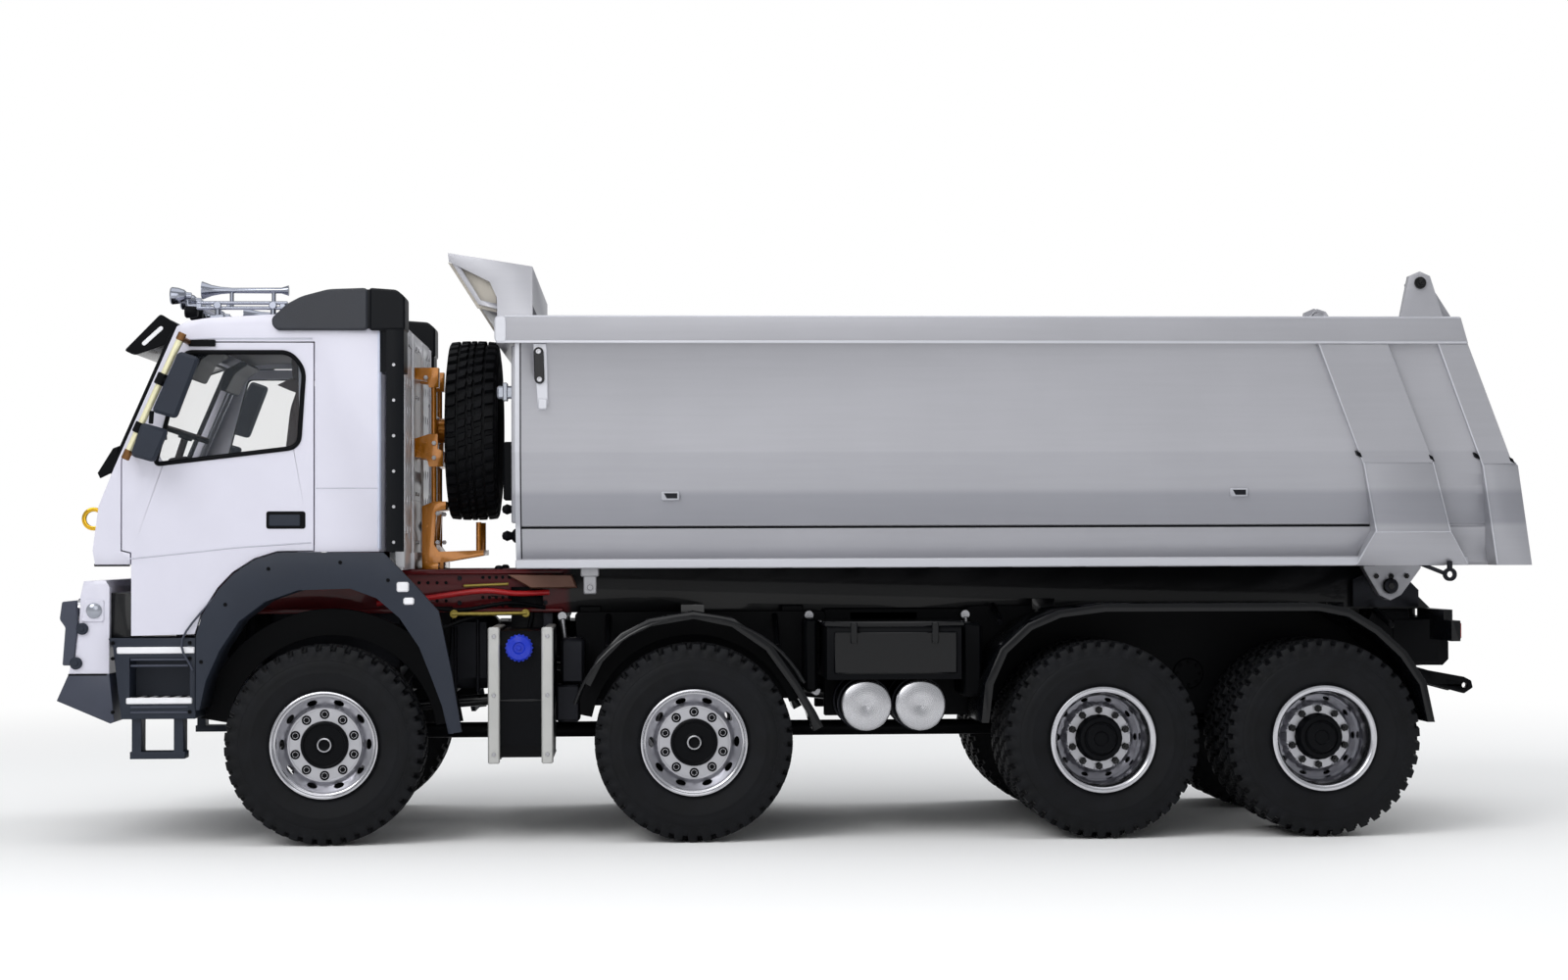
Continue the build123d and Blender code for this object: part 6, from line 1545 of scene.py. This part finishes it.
def bumper_lamps():
    """Side lamps, headlamps, indicators and fog lamps with their frames."""
    bezel = [(295.2, 94.9), (304.6, 94.9), (303.2, 104.2), (295.2, 104.2)]
    piece("side_lamp_frames", plate(rounded(bezel, 1.2), 84.6, 85.7, 0.3).both(), CAB_PAINT)
    lens = lathe([(0, -0.2), (3.3, -0.2), (3.3, 0.9), (2.6, 1.5), (0, 1.9)], 32)
    piece("side_lamps", out_y(lens, 299.3, 85.2, 99.6).both(), LAMP_GREY)
    bowl = lathe([(0, -1.0), (4.4, -1.0), (4.4, 1.6), (3.9, 1.6), (2.4, -0.1), (0, -0.4)], 40)
    piece("headlamp_bowls", spread(out_x, bowl, HEADLAMP_X, HEADLAMP_YS, HEADLAMP_Z).both(), CHROME)
    front = lathe([(0, 0.9), (3.9, 0.9), (3.5, 1.9), (0, 2.6)], 40)
    piece("headlamp_glass", spread(out_x, front, HEADLAMP_X, HEADLAMP_YS, HEADLAMP_Z).both(), LAMP_GREY)
    piece("indicators", block((309.6, 66.4, 86.0), (310.6, 80.0, 90.4), 0.4).both(), AMBER)
    fog = lathe([(0, -0.6), (3.4, -0.6), (3.4, 0.9), (2.8, 1.5), (0, 1.9)], 32)
    piece("fog_lamps", out_x(fog, 313.0, FOG_Y, FOG_Z).both(), LAMP_GREY)
    ring = lathe_ring([(4.3, -0.4), (4.3, 1.6), (3.4, 1.6), (3.4, -0.4)], 32)
    piece("fog_rings", out_x(ring, 312.6, FOG_Y, FOG_Z).both(), BLACK)


def bumper_details():
    """Knobs and seams of the bumper, and the bars, bolts and cheeks of its guard."""
    knobs = joined(
        out_y(disc(radius, 1.8, 28, 0.5) + disc(1.1, 2.4, 16), x, BUMPER_SIDE_Y, z) for radius, x, z in KNOBS
    )
    piece("bumper_knobs", knobs.both(), SLATE)
    bars = joined(block((312.6, -44.0, z), (315.0, 44.0, z + 2.2), 0.6) for z in GUARD_BAR_ZS)
    bars += joined(block((311.8, y - 1.4, 63.0), (314.6, y + 1.4, 104.0), 0.6) for y in GUARD_POST_YS)
    piece("guard_bars", bars, SLATE_SOFT)
    bolts = spread(out_x, cap_screw(1.0, 0.8), 314.6, GUARD_POST_YS[3:], (70.4, 98.6))
    piece("guard_bolts", bolts.both(), STEEL)
    cheek = [(306.6, 104.0), (312.6, 103.4), (313.6, 96.0), (311.2, 92.6), (312.4, 76.6), (307.6, 76.6)]
    cheek += [(306.0, 92.8)]
    piece("bar_cheeks", plate(rounded(cheek, 0.8), 83.0, 86.0, 0.4).both(), SLATE_SOFT)
    piece("bumper_seams", block((294.0, BUMPER_SIDE_Y, 72.3), (310.2, 85.15, 73.0), 0.1).both(), BLACK)


def step_details():
    """Pale slotted treads on the steps and ribs in the wells."""
    treads = blocks(
        ((256.9, 60.5, 81.5), (289.4, 88.6, 84.3), 0.4),
        ((257.9, 62.0, 60.4), (285.4, 88.8, 63.0), 0.4),
    )
    piece("step_treads", treads.both(), WHITE_METAL)
    upper = block((262.0, 64.0, 84.0), (264.6, 86.0, 84.5), 0.1)
    lower = block((261.6, 66.0, 62.8), (263.8, 86.4, 63.2), 0.1)
    rows = ((upper, 5.6), (lower, 4.9))
    slots = joined(slot.at(pitch * i, 0, 0) for slot, pitch in rows for i in range(5))
    piece("step_slots", slots.both(), BLACK)
    ribs = joined(block((259.6, 87.0, z), (283.6, 88.5, z + 0.9), 0.2) for z in (78.6, 76.0, 58.6, 56.4))
    piece("step_ribs", ribs.both(), SLATE_SOFT)
    bolts = spread(out_y, cap_screw(0.8, 0.6), (259.0, 291.0), 88.0, (57.0, 79.5, 86.0))
    piece("step_bolts", bolts.both(), BLACK)


def arch_details():
    """Rolled outer edge, fold and fixing screws of the front wheel arches."""
    edge = [(257.6, 77.0), (262.0, 90.0), (248.6, 107.6), (241.0, 115.0), (231.4, 121.0), (222.0, 123.6)]
    edge += [(181.0, 123.6), (172.6, 117.4)]
    path = smooth_path([(x, 89.3, z - 2.6) for x, z in edge], 5)
    piece("arch_folds", tube(path, 0.45, 8).both(), SLATE_SOFT)
    places = [(254.0, 78.0), (244.0, 102.0), (226.0, 117.0), (196.0, 119.6), (176.0, 112.0)]
    screws = joined(out_y(cap_screw(0.8, 0.5), x, ARCH_FACE_Y, z) for x, z in places)
    piece("arch_screws", screws.both(), BLACK)
    studs = spread(out_y, cap_screw(0.75, 0.6), 173.6, 89.8, np.arange(128.0, 204.0, 15.0))
    piece("fairing_studs", studs.both(), STEEL)


def seats():
    """Seats with headrests on two stalks, and the sun blinds above them."""
    back = [(211.0, 150.0), (225.0, 150.0), (221.0, 186.0), (217.6, 196.0), (212.0, 197.6), (209.0, 188.0)]
    rest = [(214.6, 198.0), (221.0, 198.6), (221.6, 209.0), (216.0, 210.0)]
    cushion = [(212.0, 148.0), (247.0, 150.0), (250.0, 155.0), (246.0, 158.4), (214.0, 155.6)]
    flap = [(254.0, 213.0), (262.0, 209.0), (264.6, 199.0), (262.4, 198.6), (258.0, 207.0), (252.0, 211.0)]
    for word, side in SIDES.items():
        y = SEAT_Y * side
        seat = plate(rounded(back, 3.0), y - 16.5, y + 16.5, 3.0)
        seat += plate(rounded(rest, 2.4), y - 8.0, y + 8.0, 2.2)
        seat += joined(rod((217.0, y + dy, 194.0), (218.0, y + dy, 200.0), 0.9) for dy in (-4.0, 4.0))
        seat += plate(rounded(cushion, 2.6), y - 17.5, y + 17.5, 2.6)
        piece("seat_" + word, seat, INTERIOR)
        piece("sun_blind_" + word, plate(rounded(flap, 1.0), y - 20.0, y + 20.0, 0.6), BLACK)


def dash():
    """Dash top, gauges under their hood, and the steering wheel."""
    top = [(262.0, 152.0), (284.0, 150.0), (285.6, 157.0), (276.0, 160.8), (264.0, 159.6)]
    piece("dash_top", plate(rounded(top, 2.0), -76.0, 76.0, 1.6), BLACK)
    hood = [(263.0, 159.0), (274.0, 160.0), (273.0, 164.6), (264.6, 165.6)]
    gauges = joined(rod((264.6, y, 162.0), (263.4, y, 162.2), 3.0, 20) for y in (40.0, 52.0))
    piece("gauges", plate(rounded(hood, 1.6), 30.0, 62.0, 1.4) + gauges, INTERIOR)
    wheel = lathe_ring([(10.3, -0.9), (10.3, 0.9), (8.6, 0.9), (8.6, -0.9)], 48)
    wheel += disc(3.2, 2.0, 20).turned(turn("X", 180.0)) + disc(2.6, 1.2, 20)
    spoke = rod((0.0, 0.0, 0.0), (9.0, 0.0, 0.0), 0.9)
    wheel += joined(spoke.turned(turn("Z", math.degrees(a))) for a in (0.6, 2.5, 4.7))
    piece("steering_wheel", wheel.turned(facing((-0.33, 0.0, 1.0))).at(*WHEEL_CENTRE), BLACK)


def cab_lining():
    """Pillars, bunk panel and roof lining inside the cab."""
    pillars = EMPTY
    for side in SIDES.values():
        pillars += tube([(286.0, side * 80.0, 162.0), (262.6, side * 77.6, 214.0)], 2.2, 12)
        pillars += tube([(213.0, side * 82.6, 212.0), (212.0, side * 82.6, 166.0)], 1.8, 12)
    piece("inner_pillars", pillars, LAMP_GREY)
    shelf = blocks(
        ((184.0, -70.0, 206.0), (206.0, 70.0, 214.0), 2.0),
        ((183.2, -74.0, 150.0), (186.0, 74.0, 206.0), 1.0),
    )
    piece("bunk_panel", shelf, INTERIOR)
    lining = [
        (258.0, 216.4), (250.0, 217.6), (184.0, 218.6), (184.0, 215.6), (250.0, 214.8), (257.0, 213.8)
    ]
    piece("roof_lining", plate(lining, -78.0, 78.0, 0.4), INTERIOR)


def spare_wheel():
    """Lugged tyre, dished rim and bolts of the spare wheel, and bolts on its carrier."""
    tyre = out_x(welded(tyre_shape(41.0, 23.5)), SPARE_X, 0.0, SPARE_Z)
    piece("spare_tread", tyre, RUBBER, hides=["spare_tyre"])
    dish = [(8.6, 0.0), (14.0, 0.0), (15.0, 1.0), (20.4, 3.0), (21.4, 5.6), (22.6, 6.4), (22.6, 4.6)]
    dish = lathe(dish + [(20.0, 1.6), (15.2, -0.8), (8.6, -1.0)], 64)
    dish += ring_of(nut(1.3, 1.6, 0.6), 10, 11.8)
    piece("spare_dish", out_x(dish, SPARE_X + 2.0, 0.0, SPARE_Z), RIM_METAL)
    places = [(165.8, 202.0), (162.2, 172.6), (162.2, 166.0), (160.6, 141.0), (160.6, 128.0)]
    bolts = joined(out_y(nut(1.1, 1.0, 0.5), x, 20.0, z) for x, z in places)
    piece("carrier_bolts", bolts.both(), STEEL)


bumper_details()
bumper_lamps()
step_details()
arch_details()
seats()
dash()
cab_lining()
spare_wheel()


FLOOR_REACH = 12.0
SHADOW_REACH = (0.45, 1.1)
SKY_STRENGTH = 0.52
SENSOR_WIDTH = 36.0


def stage_floor():
    """Pale floor that turns to plain white away from the truck, so that only its shadow is left."""
    line = np.array([-FLOOR_REACH, 0.0, FLOOR_REACH])
    x, y = np.meshgrid(line, line)
    mesh = bpy.data.meshes.new("floor")
    points = np.stack([x.ravel(), y.ravel(), np.zeros(x.size)], 1)
    mesh.from_pydata(points.tolist(), [], grid_faces(3, 3).tolist())
    f = Finish("floor")
    reach = f.node("VectorMath", {"operation": "LENGTH"}, {0: f.place}, output="Value")
    far = reach.ramp(*SHADOW_REACH)
    f.put(Base_Color=srgb(250, 250, 250), Roughness=0.9, Specular_IOR_Level=0.1)
    path = f.node("LightPath")
    glossy = f.node("LightPath", output="Is Glossy Ray")
    through = f.node("LightPath", output="Is Transmission Ray")
    seen = path.math("MAXIMUM", path.math("MAXIMUM", path, glossy), through)
    glow = f.node("Emission", {}, {"Color": (1.0, 1.0, 1.0), "Strength": 1.0})
    share = far * seen
    mixed = f.node("MixShader", {}, {0: share, 1: Value(f, f.shader.outputs[0]), 2: glow})
    f.tree.links.new(mixed.socket, f.out.inputs["Surface"])
    mesh.materials.append(f.material)
    obj = bpy.data.objects.new("floor", mesh)
    bpy.context.scene.collection.objects.link(obj)


def sky():
    """Plain world: a soft even light, seen as white by the camera."""
    world = bpy.data.worlds.new("sky")
    bpy.context.scene.world = world
    world.use_nodes = True
    tree = world.node_tree
    tree.nodes.clear()
    path = tree.nodes.new("ShaderNodeLightPath")
    light = tree.nodes.new("ShaderNodeBackground")
    light.inputs["Color"].default_value = (0.96, 0.98, 1.0, 1.0)
    light.inputs["Strength"].default_value = SKY_STRENGTH
    white = tree.nodes.new("ShaderNodeBackground")
    white.inputs["Color"].default_value = (1.0, 1.0, 1.0, 1.0)
    mix = tree.nodes.new("ShaderNodeMixShader")
    out = tree.nodes.new("ShaderNodeOutputWorld")
    tree.links.new(path.outputs["Is Camera Ray"], mix.inputs[0])
    tree.links.new(light.outputs[0], mix.inputs[1])
    tree.links.new(white.outputs[0], mix.inputs[2])
    tree.links.new(mix.outputs[0], out.inputs[0])


LAMPS = [
    # name, place in metres, aim, size, watts
    ("key", (0.95, 1.1, 1.2), (0.1, 0.0, 0.1), 1.0, 11.5),
    ("side", (0.2, 0.8, 0.42), (0.05, 0.0, 0.17), 0.5, 1.0),
    ("top", (-0.1, 0.2, 1.8), (0.0, 0.0, 0.1), 1.8, 8.0),
    ("rear", (-1.3, -0.9, 1.2), (0.0, 0.0, 0.1), 1.2, 7.0),
]


def lamps():
    """Round area lights that shine from each place toward its aim."""
    for name, place, aim, size, watts in LAMPS:
        light = bpy.data.lights.new(name, "AREA")
        light.shape = "DISK"
        light.size = size
        light.energy = watts
        obj = bpy.data.objects.new(name, light)
        way = Vector(aim) - Vector(place)
        obj.matrix_world = Matrix.Translation(place) @ way.to_track_quat("-Z", "Y").to_matrix().to_4x4()
        bpy.context.scene.collection.objects.link(obj)


CAMERA_PLACE = (0.0689, 1.2005, 0.1264)
# The view's turns, in degrees
CAMERA_YAW = 3.11
CAMERA_PITCH = 1.2
CAMERA_ROLL = -0.19
LENS = 60.0


def camera():
    """The photograph's view: from the truck's left, between wheels and bed, turned a little to its rear."""
    data = bpy.data.cameras.new("camera")
    data.lens = LENS
    data.sensor_width = SENSOR_WIDTH
    obj = bpy.data.objects.new("camera", data)
    aim = turn("Z", 180.0 - CAMERA_YAW) @ turn("X", 90.0 + CAMERA_PITCH) @ turn("Z", CAMERA_ROLL)
    obj.matrix_world = Matrix.Translation(CAMERA_PLACE) @ Matrix(aim.tolist()).to_4x4()
    bpy.context.scene.collection.objects.link(obj)
    bpy.context.scene.camera = obj


stage_floor()
sky()
lamps()
camera()
bpy.context.scene.view_settings.view_transform = "Standard"
